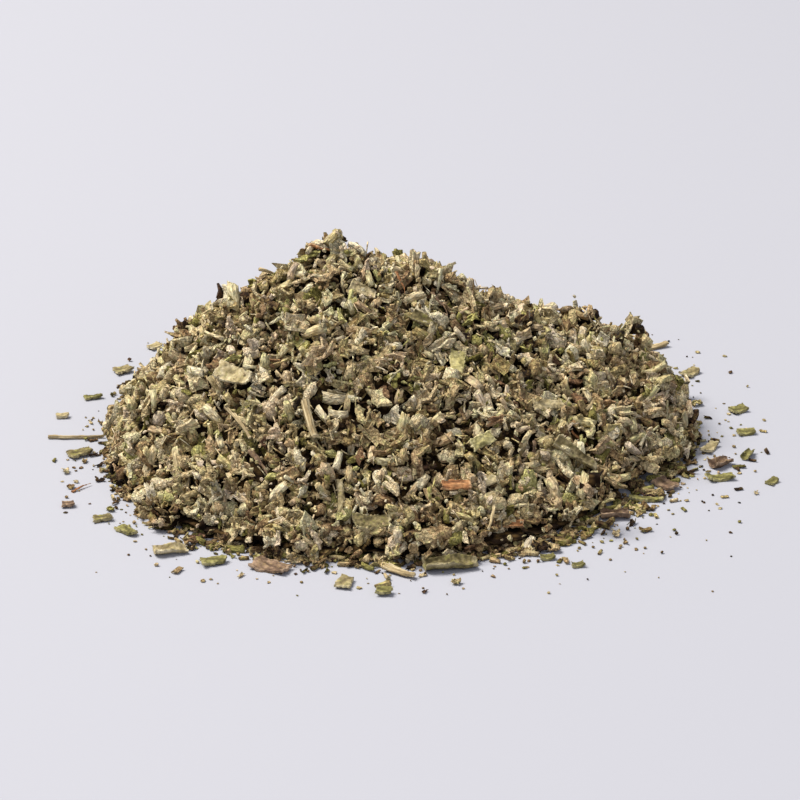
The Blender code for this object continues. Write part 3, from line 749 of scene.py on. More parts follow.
        def bend(u: float, v: float) -> Vector:
            """Place one point of the folded scrap."""
            spot = Vector((1.3 * u, 1.3 * v, shift))
            fold = 0.34 * (0.4 - 2.0 * abs(noise.noise(spot))) + 0.14 * noise.noise(spot * 2.3)
            angle = turn * (v + slant * u)
            size = radius + fold
            return Vector((0.48 * u + 0.2 * noise.noise(spot + Vector((7.0, 0.0, 0.0))),
                           size * math.sin(angle), radius - size * math.cos(angle)))

        return self.sheet(4, 4, self.rng.uniform(0.07, 0.12), bend, self.rng.uniform(0.0, 0.4),
                          self.rng.uniform(-0.3, 0.3))

    def sheet(self, across: int, along: int, thick: float, bend: Callable[[float, float], Vector],
              taper: float, skew: float) -> bmesh.types.BMesh:
        """Build a thin closed leaf sheet with a ragged outline.

        Args:
            across: cells over its width.
            along: cells over its length.
            thick: the sheet's thickness.
            bend: where the sheet's point (u, v), each from -1 to 1, lies.
            taper: how much narrower the far end is.
            skew: how much the ends slant.

        Returns:
            The closed sheet.
        """
        bm = bmesh.new()
        grid: list[list[bmesh.types.BMVert]] = []
        marks: dict[bmesh.types.BMVert, float] = {}
        ragged = [self.rng.uniform(-0.28, 0.12) for _ in range(2 * (across + along) + 4)]
        for j in range(along + 1):
            row = []
            for i in range(across + 1):
                u = 2.0 * j / along - 1.0
                v = 2.0 * i / across - 1.0
                on_end = j in (0, along)
                on_side = i in (0, across)
                jag = ragged[(3 * i + 5 * j) % len(ragged)]
                v2 = v * (1.0 - taper * 0.5 * (u + 1.0)) * (1.0 + jag * on_side)
                u2 = u * (1.0 + jag * on_end) + skew * v * on_end
                vert = bm.verts.new(bend(u2, v2) + Vector((0.0, 0.0, 0.03 * self.rng.uniform(-1.0, 1.0))))
                marks[vert] = 1.0 if on_end or on_side else 0.0
                row.append(vert)
            grid.append(row)
        for j in range(along):
            for i in range(across):
                bm.faces.new((grid[j][i], grid[j + 1][i], grid[j + 1][i + 1], grid[j][i + 1]))
        bmesh.ops.recalc_face_normals(bm, faces=bm.faces)
        bm.normal_update()
        under = {vert: bm.verts.new(vert.co - vert.normal * thick) for vert in bm.verts[:]}
        for vert, twin in under.items():
            marks[twin] = marks[vert]
        for face in bm.faces[:]:
            bm.faces.new([under[vert] for vert in reversed(face.verts)])
        rim = [edge for edge in bm.edges if edge.is_boundary and edge.verts[0] in under]
        for edge in rim:
            a, b = edge.verts
            side = bm.faces.new((a, b, under[b], under[a]))
            for corner in side.edges:
                corner.smooth = marks[corner.verts[0]] + marks[corner.verts[1]] < 2.0
        self.mark_edges(bm, marks)
        return bm

    def chip(self) -> bmesh.types.BMesh:
        """A cut piece of leaf blade, nearly flat, a little folded."""
        wide = self.rng.uniform(0.24, 0.38)
        fold = self.rng.uniform(-0.15, 0.35)
        arch = self.rng.uniform(-0.08, 0.2)
        shift = self.rng.uniform(0.0, 50.0)

        def bend(u: float, v: float) -> Vector:
            """Place one point of the folded chip."""
            lift = fold * abs(v) + arch * u * u
            lift += 0.14 * noise.noise(Vector((1.7 * u + shift, 1.9 * v, 0.0)))
            return Vector((0.5 * u, wide * v, lift))

        return self.sheet(3, 4, self.rng.uniform(0.1, 0.17), bend, self.rng.uniform(0.0, 0.5),
                          self.rng.uniform(-0.4, 0.4))

    def curl(self) -> bmesh.types.BMesh:
        """A piece of leaf curled into an open gutter."""
        turn = math.radians(self.rng.uniform(80.0, 135.0))
        radius = self.rng.uniform(0.17, 0.25)
        bow = self.rng.uniform(-0.12, 0.12)

        def bend(u: float, v: float) -> Vector:
            """Place one point of the gutter."""
            angle = turn * v
            size = radius * (1.0 - 0.25 * u)
            return Vector((0.5 * u, size * math.sin(angle), size * (1.0 - math.cos(angle)) + bow * u * u))

        return self.sheet(5, 3, self.rng.uniform(0.07, 0.11), bend, self.rng.uniform(0.0, 0.3),
                          self.rng.uniform(-0.2, 0.2))

    def roll(self) -> bmesh.types.BMesh:
        """A leaf rolled tight: a ridged rod with slanting, hollowed ends."""
        bm = bmesh.new()
        sides, rings = 8, 4
        radius = self.rng.uniform(0.16, 0.26)
        bow = self.rng.uniform(-0.13, 0.13)
        tilt = self.rng.uniform(-0.6, 0.6)
        ridges = [self.rng.uniform(0.7, 1.15) for _ in range(sides)]
        grid = []
        marks: dict[bmesh.types.BMVert, float] = {}
        for j in range(rings):
            u = 2.0 * j / (rings - 1) - 1.0
            swell = 1.0 - 0.12 * u * u + self.rng.uniform(-0.07, 0.07) - 0.1 * u
            row = []
            for i in range(sides):
                angle = 2.0 * math.pi * i / sides + 0.2 * u
                y = radius * ridges[i] * swell * math.cos(angle)
                z = radius * ridges[i] * swell * math.sin(angle) * 0.85
                x = 0.5 * u + tilt * y * (j in (0, rings - 1))
                vert = bm.verts.new((x, y, z + bow * (1.0 - u * u)))
                marks[vert] = 0.9 if j in (0, rings - 1) else 0.3 * (ridges[i] > 1.0)
                row.append(vert)
            grid.append(row)
        self.bridge(bm, grid)
        for row, inward in ((grid[0], 1.0), (grid[-1], -1.0)):
            middle = sum((vert.co for vert in row), Vector()) / sides
            hub = bm.verts.new(middle + Vector((0.09 * inward, 0.0, 0.0)))
            for i in range(sides):
                bm.faces.new((row[i], row[(i + 1) % sides], hub))
        self.mark_edges(bm, marks)
        return bm

    def rib(self) -> bmesh.types.BMesh:
        """A slim piece of leaf rib or stalk."""
        bm = bmesh.new()
        sides, rings = 5, 4
        radius = self.rng.uniform(0.045, 0.085)
        bow = self.rng.uniform(-0.1, 0.1)
        grid = []
        for j in range(rings):
            u = 2.0 * j / (rings - 1) - 1.0
            size = radius * (1.0 - 0.35 * (u + 1.0) * 0.5) * self.rng.uniform(0.85, 1.15)
            row = []
            for i in range(sides):
                angle = 2.0 * math.pi * i / sides
                row.append(bm.verts.new((0.5 * u, size * math.cos(angle) + bow * (1.0 - u * u),
                                         size * math.sin(angle))))
            grid.append(row)
        self.bridge(bm, grid)
        bm.faces.new(grid[0])
        bm.faces.new(grid[-1])
        self.mark_edges(bm, {vert: 0.5 for vert in bm.verts})
        return bm

    def flake(self) -> bmesh.types.BMesh:
        """A thin scrap of leaf."""
        bm = bmesh.new()
        sides = self.rng.choice((4, 5, 6))
        top = []
        bottom = []
        for i in range(sides):
            angle = 2.0 * math.pi * i / sides
            reach = self.rng.uniform(0.32, 0.55)
            x, y = reach * math.cos(angle), 0.75 * reach * math.sin(angle)
            lift = self.rng.uniform(-0.1, 0.14)
            top.append(bm.verts.new((x, y, lift + 0.07)))
            bottom.append(bm.verts.new((x, y, lift - 0.07)))
        hub = bm.verts.new((0.0, 0.0, self.rng.uniform(0.02, 0.2)))
        for i in range(sides):
            k = (i + 1) % sides
            bm.faces.new((top[i], top[k], hub))
            bm.faces.new((top[i], bottom[i], bottom[k], top[k]))
        bm.faces.new(bottom)
        self.mark_edges(bm, {vert: 0.6 for vert in top})
        return bm

    def grain(self) -> bmesh.types.BMesh:
        """A tiny crumb."""
        bm = bmesh.new()
        bmesh.ops.create_icosphere(bm, subdivisions=1, radius=0.45)
        shape = Vector((
            self.rng.uniform(0.9, 1.3), self.rng.uniform(0.6, 0.95), self.rng.uniform(0.45, 0.8),
        ))
        for vert in bm.verts:
            vert.co = vert.co * shape * self.rng.uniform(0.72, 1.2)
        self.mark_edges(bm, {vert: self.rng.choice((0.0, 0.0, 0.5)) for vert in bm.verts})
        return bm


def pick_form(kinds: Sequence[CrumbKind], kind: CrumbKind, per_kind: int, rng: random.Random) -> int:
    """Pick one form of a kind by its number, counted as CrumbShapes makes them.

    Args:
        kinds: the kinds in the order in which they are made.
        kind: the wanted kind.
        per_kind: how many forms each kind has.
        rng: the source of chance.

    Returns:
        The form's number.
    """
    return kinds.index(kind) * per_kind + rng.randrange(per_kind)


# Scattering


@dataclass(frozen=True)
class CrumbLayer:
    """One layer of crumbs over the heap: which forms, how close, how large and how steep."""

    name: str
    kinds: tuple[CrumbKind, ...]
    # The least distance between two crumbs, and their least and greatest length and lift
    spacing: float
    size: tuple[float, float]
    lift: tuple[float, float]
    # The most that they are tipped, in radians, and their ranges of tone, darker on the lower layers as
    # painted shade, and of family
    tilt: float
    tone: tuple[float, float]
    hue: tuple[float, float]
    seed: int
    # How far they keep from a larger cutting, how high clumps swell, and up to where the layer goes
    keep_clear: float
    clump: float = 0.8 * MM
    below: float = 1.0


# The distance from one clump of crumbs to the next
CLUMP_WAVE = 5.5 * MM
# How much lighter the crumbs on a clump are than those between clumps: painted light on the clumps and
# painted shade in the hollows between them
PAINTED_CLUMP_SHADE = 0.35
# Faces that look down more steeply than this carry no crumbs
LEAST_UPWARD = -0.97


class CrumbTree:
    """What both node trees share: named inputs, and crumbs that end as one dressed mesh."""

    title = ""
    inputs: tuple[tuple[str, str], ...] = ()

    def __init__(self) -> None:
        """Build the tree."""
        self.tree = bpy.data.node_groups.new(self.title, "GeometryNodeTree")
        self.sockets: dict[str, str] = {}
        shared = (("Crumbs", "NodeSocketCollection"), ("Material", "NodeSocketMaterial"))
        for name, kind in (*self.inputs, *shared):
            socket = self.tree.interface.new_socket(name, in_out="INPUT", socket_type=kind)
            self.sockets[name] = socket.identifier
        self.tree.interface.new_socket("Crumb layer", in_out="OUTPUT", socket_type="NodeSocketGeometry")
        self.given = self.tree.nodes.new("NodeGroupInput").outputs
        self.build()

    def build(self) -> None:
        """Fill the tree."""
        raise NotImplementedError

    def forms(self) -> bpy.types.NodeSocket:
        """Add the crumb forms, one child of the collection each."""
        return add_node(self.tree, "GeometryNodeCollectionInfo", {"transform_space": "ORIGINAL"}, {
            "Collection": self.given["Crumbs"], "Separate Children": True, "Reset Children": True,
        }).outputs[0]

    def close(self, crumbs: bpy.types.NodeSocket) -> None:
        """Make the set crumbs one mesh above the surface that the heap lies on, and dress it.

        Args:
            crumbs: the crumbs as instances.
        """
        tree = self.tree
        solid = add_node(tree, "GeometryNodeRealizeInstances", {}, {0: crumbs}).outputs[0]
        spot = add_node(tree, "GeometryNodeInputPosition").outputs[0]
        parts = add_node(tree, "ShaderNodeSeparateXYZ", {}, {0: spot}).outputs
        above = add_node(tree, "ShaderNodeMath", {"operation": "MAXIMUM"},
                         {0: parts["Z"], 1: CRUMB_FLOOR}).outputs[0]
        level = add_node(tree, "ShaderNodeCombineXYZ", {},
                         {0: parts["X"], 1: parts["Y"], 2: above}).outputs[0]
        solid = add_node(tree, "GeometryNodeSetPosition", {},
                         {"Geometry": solid, "Position": level}).outputs[0]
        solid = add_node(tree, "GeometryNodeSetMaterial", {},
                         {"Geometry": solid, "Material": self.given["Material"]}).outputs[0]
        tree.links.new(solid, tree.nodes.new("NodeGroupOutput").inputs[0])

    def make(self, name: str, carrier: bpy.types.Mesh, values: dict[str, object]) -> bpy.types.Object:
        """Run the tree on a mesh and keep the result as a plain mesh.

        Args:
            name: the new piece's name.
            carrier: the mesh that it starts from.
            values: the tree's inputs by name.

        Returns:
            The new piece.
        """
        item = add_to_scene(bpy.data.objects.new(name + "_carrier", carrier))
        modifier = item.modifiers.new("crumbs", "NODES")
        modifier.node_group = self.tree
        for key, value in values.items():
            modifier[self.sockets[key]] = value
        mesh = evaluated_mesh(item)
        bpy.data.objects.remove(item, do_unlink=True)
        mesh.name = name
        share_texture(mesh)
        return add_to_scene(bpy.data.objects.new(name, mesh))


class ScatterTree(CrumbTree):
    """The node tree that strews crumbs over a surface, one call of it for each layer."""

    title = "strew_crumbs"
    inputs = (
        ("Surface", "NodeSocketGeometry"), ("Cuttings", "NodeSocketObject"),
        *((name, "NodeSocketFloat") for name in (
            "Spacing", "Size low", "Size high", "Lift low", "Lift high", "Clump", "Tilt",
            "Tone low", "Tone high", "Hue low", "Hue high", "Keep clear", "Below")),
        ("Seed", "NodeSocketInt"),
    )

    def random(self, kind: str, low: object, high: object, seed: object, salt: int) -> bpy.types.NodeSocket:
        """Add a random value that differs by crumb.

        Args:
            kind: FLOAT or FLOAT_VECTOR.
            low: the least value, as a socket or plain.
            high: the greatest value, as a socket or plain.
            seed: the layer's seed socket.
            salt: what keeps this value apart from the layer's other random values.

        Returns:
            The value's socket.
        """
        mixed = add_node(self.tree, "ShaderNodeMath", {"operation": "MULTIPLY_ADD"},
                         {0: seed, 1: 31.0, 2: float(salt)}).outputs[0]
        node = self.tree.nodes.new("FunctionNodeRandomValue")
        node.data_type = kind
        names = [socket for socket in node.inputs if socket.enabled]
        for socket, value in zip(names, (low, high)):
            if isinstance(value, bpy.types.NodeSocket):
                self.tree.links.new(value, socket)
            else:
                socket.default_value = value
        self.tree.links.new(mixed, node.inputs["Seed"])
        return next(socket for socket in node.outputs if socket.enabled)

    def build(self) -> None:
        """Fill the tree: strew points, keep clear of cuttings, set a crumb on each and turn it."""
        tree = self.tree
        given = self.given
        normal = add_node(tree, "GeometryNodeInputNormal").outputs[0]
        upward = add_node(tree, "ShaderNodeSeparateXYZ", {}, {0: normal}).outputs["Z"]
        outside = add_node(tree, "ShaderNodeMath", {"operation": "GREATER_THAN"},
                           {0: upward, 1: LEAST_UPWARD}).outputs[0]
        strewn = add_node(tree, "GeometryNodeDistributePointsOnFaces", {"distribute_method": "POISSON"}, {
            "Mesh": given["Surface"], "Selection": outside, "Distance Min": given["Spacing"],
            "Density Max": 4.0e6, "Seed": given["Seed"],
        })

        # No crumb covers a larger cutting
        cuttings = add_node(tree, "GeometryNodeObjectInfo", {"transform_space": "ORIGINAL"},
                            {"Object": given["Cuttings"]}).outputs["Geometry"]
        near = add_node(tree, "GeometryNodeProximity", {"target_element": "FACES"}, {0: cuttings})
        covers = add_node(tree, "ShaderNodeMath", {"operation": "LESS_THAN"},
                          {0: near.outputs["Distance"], 1: given["Keep clear"]}).outputs[0]
        here = add_node(tree, "GeometryNodeInputPosition").outputs[0]
        height = add_node(tree, "ShaderNodeSeparateXYZ", {}, {0: here}).outputs["Z"]
        too_high = add_node(tree, "ShaderNodeMath", {"operation": "GREATER_THAN"},
                            {0: height, 1: given["Below"]}).outputs[0]
        covers = add_node(tree, "ShaderNodeMath", {"operation": "MAXIMUM"},
                          {0: covers, 1: too_high}).outputs[0]
        kept = add_node(tree, "GeometryNodeDeleteGeometry", {"domain": "POINT"},
                        {"Geometry": strewn.outputs["Points"], "Selection": covers}).outputs[0]

        # Each crumb stands off the surface by its own small lift
        seed = given["Seed"]
        lift = self.random("FLOAT", given["Lift low"], given["Lift high"], seed, 1)
        wave = add_node(tree, "ShaderNodeTexNoise", {},
                        {"Scale": 1.0 / CLUMP_WAVE, "Detail": 1.0}).outputs["Fac"]
        swell = add_node(tree, "ShaderNodeMath", {"operation": "MULTIPLY_ADD"},
                         {0: wave, 1: 2.0, 2: -1.0}).outputs[0]
        lift = add_node(tree, "ShaderNodeMath", {"operation": "MULTIPLY_ADD"},
                        {0: swell, 1: given["Clump"], 2: lift}).outputs[0]
        facing = add_node(tree, "GeometryNodeCaptureAttribute")
        facing.capture_items.new("VECTOR", "Facing")
        tree.links.new(kept, facing.inputs["Geometry"])
        tree.links.new(strewn.outputs["Normal"], facing.inputs["Facing"])
        step = add_node(tree, "ShaderNodeVectorMath", {"operation": "SCALE"},
                        {0: facing.outputs["Facing"], "Scale": lift}).outputs[0]
        raised = add_node(tree, "GeometryNodeSetPosition", {},
                          {"Geometry": facing.outputs["Geometry"], "Offset": step}).outputs[0]

        # It lies along the surface, spun freely and tipped by up to the layer's tilt
        lying = add_node(tree, "FunctionNodeAlignRotationToVector", {"axis": "Z"},
                         {"Vector": facing.outputs["Facing"]}).outputs[0]
        back = add_node(tree, "ShaderNodeMath", {"operation": "MULTIPLY"},
                        {0: given["Tilt"], 1: -1.0}).outputs[0]
        lean_x = self.random("FLOAT", back, given["Tilt"], seed, 2)
        lean_y = self.random("FLOAT", back, given["Tilt"], seed, 3)
        spin = self.random("FLOAT", 0.0, 2.0 * math.pi, seed, 4)
        turn = add_node(tree, "ShaderNodeCombineXYZ", {}, {0: lean_x, 1: lean_y, 2: spin}).outputs[0]
        turned = add_node(tree, "FunctionNodeRotateRotation", {"rotation_space": "LOCAL"},
                          {0: lying, 1: turn}).outputs[0]
        size = self.random("FLOAT", given["Size low"], given["Size high"], seed, 5)
        crumbs = add_node(tree, "GeometryNodeInstanceOnPoints", {}, {
            "Points": raised, "Instance": self.forms(), "Pick Instance": True, "Rotation": turned,
            "Scale": size,
        }).outputs[0]

        # Its tone: its own random shade plus painted light on the clumps and painted shade between them, its
        # family and place in the texture
        tone = self.random("FLOAT", given["Tone low"], given["Tone high"], seed, 6)
        tone = add_node(tree, "ShaderNodeMath", {"operation": "MULTIPLY_ADD"},
                        {0: swell, 1: PAINTED_CLUMP_SHADE, 2: tone}).outputs[0]
        hue = self.random("FLOAT", given["Hue low"], given["Hue high"], seed, 7)
        number = add_node(tree, "GeometryNodeInputIndex").outputs[0]
        for name, value, kind in (
            ("tone", tone, "FLOAT"), ("hue", hue, "FLOAT"), ("span", size, "FLOAT"), ("cell", number, "INT"),
        ):
            store = add_node(tree, "GeometryNodeStoreNamedAttribute",
                             {"data_type": kind, "domain": "INSTANCE"}, {"Geometry": crumbs, "Name": name})
            tree.links.new(value, next(s for s in store.inputs if s.name == "Value" and s.enabled))
            crumbs = store.outputs[0]
        self.close(crumbs)

    def strew(self, layer: CrumbLayer, surface: bpy.types.Mesh, crumbs: bpy.types.Collection,
              cuttings: bpy.types.Object, material: bpy.types.Material) -> bpy.types.Object:
        """Make one layer as a plain mesh.

        Args:
            layer: the layer's sizes.
            surface: the mesh that it lies on.
            crumbs: the crumb forms.
            cuttings: the larger cuttings, joined, which stay clear.
            material: the crumbs' material.

        Returns:
            The layer's object.
        """
        return self.make(layer.name, surface, {
            "Crumbs": crumbs, "Cuttings": cuttings, "Spacing": layer.spacing,
            "Size low": layer.size[0], "Size high": layer.size[1],
            "Lift low": layer.lift[0], "Lift high": layer.lift[1], "Clump": layer.clump, "Tilt": layer.tilt,
            "Tone low": layer.tone[0], "Tone high": layer.tone[1],
            "Hue low": layer.hue[0], "Hue high": layer.hue[1],
            "Keep clear": layer.keep_clear, "Below": layer.below, "Seed": layer.seed,
            "Material": material,
        })


@dataclass(frozen=True)
class SetCrumb:
    """One crumb in its place."""

    place: Vector
    turn: Euler
    span: float
    form: int
    tone: float
    hue: float


class PlaceTree(CrumbTree):
    """The node tree that sets crumbs on given points, each with its own size, turn and form."""

    title = "place_crumbs"
    inputs = (("Points", "NodeSocketGeometry"),)

    def read(self, kind: str, name: str) -> bpy.types.NodeSocket:
        """Read a named value of the points."""
        node = add_node(self.tree, "GeometryNodeInputNamedAttribute", {"data_type": kind},
                        {"Name": name})
        return next(socket for socket in node.outputs if socket.enabled)

    def build(self) -> None:
        """Fill the tree."""
        tree = self.tree
        turned = add_node(tree, "FunctionNodeEulerToRotation", {},
                          {0: self.read("FLOAT_VECTOR", "turn")}).outputs[0]
        self.close(add_node(tree, "GeometryNodeInstanceOnPoints", {}, {
            "Points": self.given["Points"], "Instance": self.forms(), "Pick Instance": True,
            "Instance Index": self.read("INT", "form"), "Rotation": turned,
            "Scale": self.read("FLOAT", "span"),
        }).outputs[0])

    def place(self, name: str, crumbs: Sequence[SetCrumb], forms: bpy.types.Collection,
              material: bpy.types.Material) -> bpy.types.Object:
        """Make one piece of crumbs in their places.

        Args:
            name: the piece's name.
            crumbs: the crumbs.
            forms: the crumb forms.
            material: the crumbs' material.

        Returns:
            The piece.
        """
        mesh = bpy.data.meshes.new(name + "_points")
        mesh.from_pydata([crumb.place for crumb in crumbs], [], [])
        mesh.attributes.new("turn", "FLOAT_VECTOR", "POINT").data.foreach_set(
            "vector", [angle for crumb in crumbs for angle in crumb.turn])
        for key, kind in (("span", "FLOAT"), ("tone", "FLOAT"), ("hue", "FLOAT"), ("form", "INT")):
            mesh.attributes.new(key, kind, "POINT").data.foreach_set(
                "value", [getattr(crumb, key) for crumb in crumbs])
        mesh.attributes.new("cell", "INT", "POINT").data.foreach_set("value", list(range(len(crumbs))))
        return self.make(name, mesh, {"Crumbs": forms, "Material": material})


def share_texture(mesh: bpy.types.Mesh) -> None:
    """Give each crumb of a layer its own small square of the layer's texture.

    Args:
        mesh: the layer, with an attribute cell that numbers its crumbs.
    """
    cells = np.zeros(len(mesh.vertices), dtype=np.int32)
    mesh.attributes["cell"].data.foreach_get("value", cells)
    numbers, cells = np.unique(cells, return_inverse=True)
    across = max(1, math.ceil(math.sqrt(len(numbers))))
    corners = np.zeros(len(mesh.loops), dtype=np.int32)
    mesh.loops.foreach_get("vertex_index", corners)
    uv = np.zeros(2 * len(mesh.loops), dtype=np.float32)
    layer = mesh.uv_layers["OFBake"] if "OFBake" in mesh.uv_layers else mesh.attributes["OFBake"]
    corner_value = "uv" if hasattr(layer.data[0], "uv") else "vector"
    layer.data.foreach_get(corner_value, uv)
    uv = uv.reshape(-1, 2)
    own = cells[corners]
    uv[:, 0] = (own % across + uv[:, 0]) / across
    uv[:, 1] = (own // across + uv[:, 1]) / across
    layer.data.foreach_set(corner_value, uv.ravel())
    mesh.attributes.remove(mesh.attributes["cell"])


# The heap


@dataclass(frozen=True)
class SeenCrumb:
    """A crumb of the heap that the photograph shows plainly, in mm and degrees."""

    kind: CrumbKind
    x: float
    y: float
    size: float
    heading: float
    tone: float
    hue: float


@dataclass
class SeenCrumbs:
    """The plainly seen crumbs, each set on the heap's surface."""

    name: str = "heap_plain_crumbs"
    seed: int = 23
    per_kind: int = 5
    # How far a crumb's middle stands off the heap, and the height from which its place is sought
    lift: float = 1.1 * MM
    drop_from: float = 80.0 * MM
    kinds: tuple[CrumbKind, ...] = tuple(CrumbKind)
    crumbs: tuple[SeenCrumb, ...] = (
        SeenCrumb(CrumbKind.ROLL, -11.6, -27.2, 4.0, 0, 0.85, 0.50),
        SeenCrumb(CrumbKind.ROLL, -10.5, -31.1, 3.4, -7, 0.85, 0.50),
        SeenCrumb(CrumbKind.ROLL, -12.8, -30.6, 3.2, -71, 0.95, 0.50),
        SeenCrumb(CrumbKind.CHIP, -7.0, -30.1, 3.2, -75, 0.72, 0.20),
        SeenCrumb(CrumbKind.CHIP, -5.3, -33.3, 4.5, -43, 0.55, 0.50),
        SeenCrumb(CrumbKind.ROLL, -10.5, -36.7, 3.4, 79, 0.97, 0.50),
        SeenCrumb(CrumbKind.CHIP, -6.8, -36.2, 2.5, 67, 0.75, 0.99),
        SeenCrumb(CrumbKind.CHIP, -1.7, -28.6, 3.1, 67, 1.00, 0.50),
        SeenCrumb(CrumbKind.KNOB, -11.5, -35.7, 2.3, 0, 0.90, 0.01),
        SeenCrumb(CrumbKind.GRAIN, -7.3, -38.0, 1.4, 0, 0.95, 0.01),
        SeenCrumb(CrumbKind.ROLL, -8.9, -27.5, 4.0, 86, 0.60, 0.50),
        SeenCrumb(CrumbKind.KNOB, -8.0, -26.9, 2.3, 0, 0.95, 0.50),
        SeenCrumb(CrumbKind.CHIP, -3.6, -27.9, 3.8, -62, 0.75, 0.30),
        SeenCrumb(CrumbKind.CHIP, -2.7, -26.2, 2.7, -75, 0.85, 0.99),
        SeenCrumb(CrumbKind.CHIP, 17.7, -10.8, 3.2, -32, 1.00, 0.50),
        SeenCrumb(CrumbKind.KNOB, 20.4, -9.2, 1.6, 0, 0.95, 0.50),
        SeenCrumb(CrumbKind.KNOB, 19.4, -13.3, 2.2, 0, 0.95, 0.50),
        SeenCrumb(CrumbKind.CHIP, 9.1, -28.6, 2.7, 26, 0.97, 0.50),
        SeenCrumb(CrumbKind.KNOB, 8.0, -32.7, 3.2, 0, 0.78, 0.50),
        SeenCrumb(CrumbKind.KNOB, 16.5, -27.8, 2.3, 0, 0.85, 0.50),
        SeenCrumb(CrumbKind.KNOB, 18.2, -28.7, 2.3, 0, 0.88, 0.50),
        SeenCrumb(CrumbKind.FLAKE, 23.0, -22.7, 1.6, 0, 0.80, 0.99),
        SeenCrumb(CrumbKind.FLAKE, 24.4, -22.7, 1.6, 0, 0.70, 0.99),
        SeenCrumb(CrumbKind.FLAKE, 25.6, -23.0, 1.4, 0, 0.75, 0.99),
        SeenCrumb(CrumbKind.CURL, 27.6, -30.1, 4.7, -67, 0.88, 0.50),
        SeenCrumb(CrumbKind.RIB, 23.4, -32.0, 4.5, -13, 0.95, 0.40),
        SeenCrumb(CrumbKind.KNOB, 28.5, -34.0, 3.1, 0, 0.85, 0.01),
        SeenCrumb(CrumbKind.FLAKE, 17.1, -16.1, 1.8, 0, 0.60, 0.99),
        SeenCrumb(CrumbKind.FLAKE, 17.4, -17.5, 1.4, 0, 0.70, 0.99),
        SeenCrumb(CrumbKind.CHIP, 30.6, -9.9, 2.3, 13, 0.70, 0.99),
        SeenCrumb(CrumbKind.CHIP, 16.5, -26.4, 3.1, 26, 0.85, 0.99),
        SeenCrumb(CrumbKind.RIB, -29.2, -25.0, 2.2, 13, 0.70, 0.99),
        SeenCrumb(CrumbKind.KNOB, -21.2, -36.8, 2.2, 0, 0.80, 0.01),
        SeenCrumb(CrumbKind.CHIP, -17.4, -12.6, 2.9, -38, 0.80, 0.40),
        SeenCrumb(CrumbKind.ROLL, 3.4, -38.6, 3.2, 67, 0.90, 0.50),
        SeenCrumb(CrumbKind.CHIP, -26.0, -15.5, 2.9, -26, 0.75, 0.30),
    )

    def build(self, carrier: bpy.types.Object, tree: PlaceTree,
              felt: bpy.types.Material) -> bpy.types.Object:
        """Set the crumbs on the carrier.

        Args:
            carrier: the heap's surface.
            tree: the tree that places crumbs.
            felt: their finish.

        Returns:
            The piece.
        """
        rng = random.Random(self.seed)
        surface = face_tree(carrier.data)
        placed = []
        for crumb in self.crumbs:
            start = Vector((crumb.x * MM, crumb.y * MM, self.drop_from))
            spot, normal, _, _ = surface.ray_cast(start, Vector((0.0, 0.0, -1.0)))
            heading = math.radians(crumb.heading)
            along = Vector((math.cos(heading), math.sin(heading), 0.0))
            across = normal.cross(along).normalized()
            turned = Matrix((across.cross(normal), across, normal)).transposed().to_euler()
            form = pick_form(self.kinds, crumb.kind, self.per_kind, rng)
            place = spot + normal * self.lift
            placed.append(SetCrumb(place, turned, crumb.size * MM, form, crumb.tone, crumb.hue))
        forms = CrumbShapes(self.seed, self.per_kind).make(self.name + "_forms", self.kinds)
        return tree.place(self.name, placed, forms, felt)


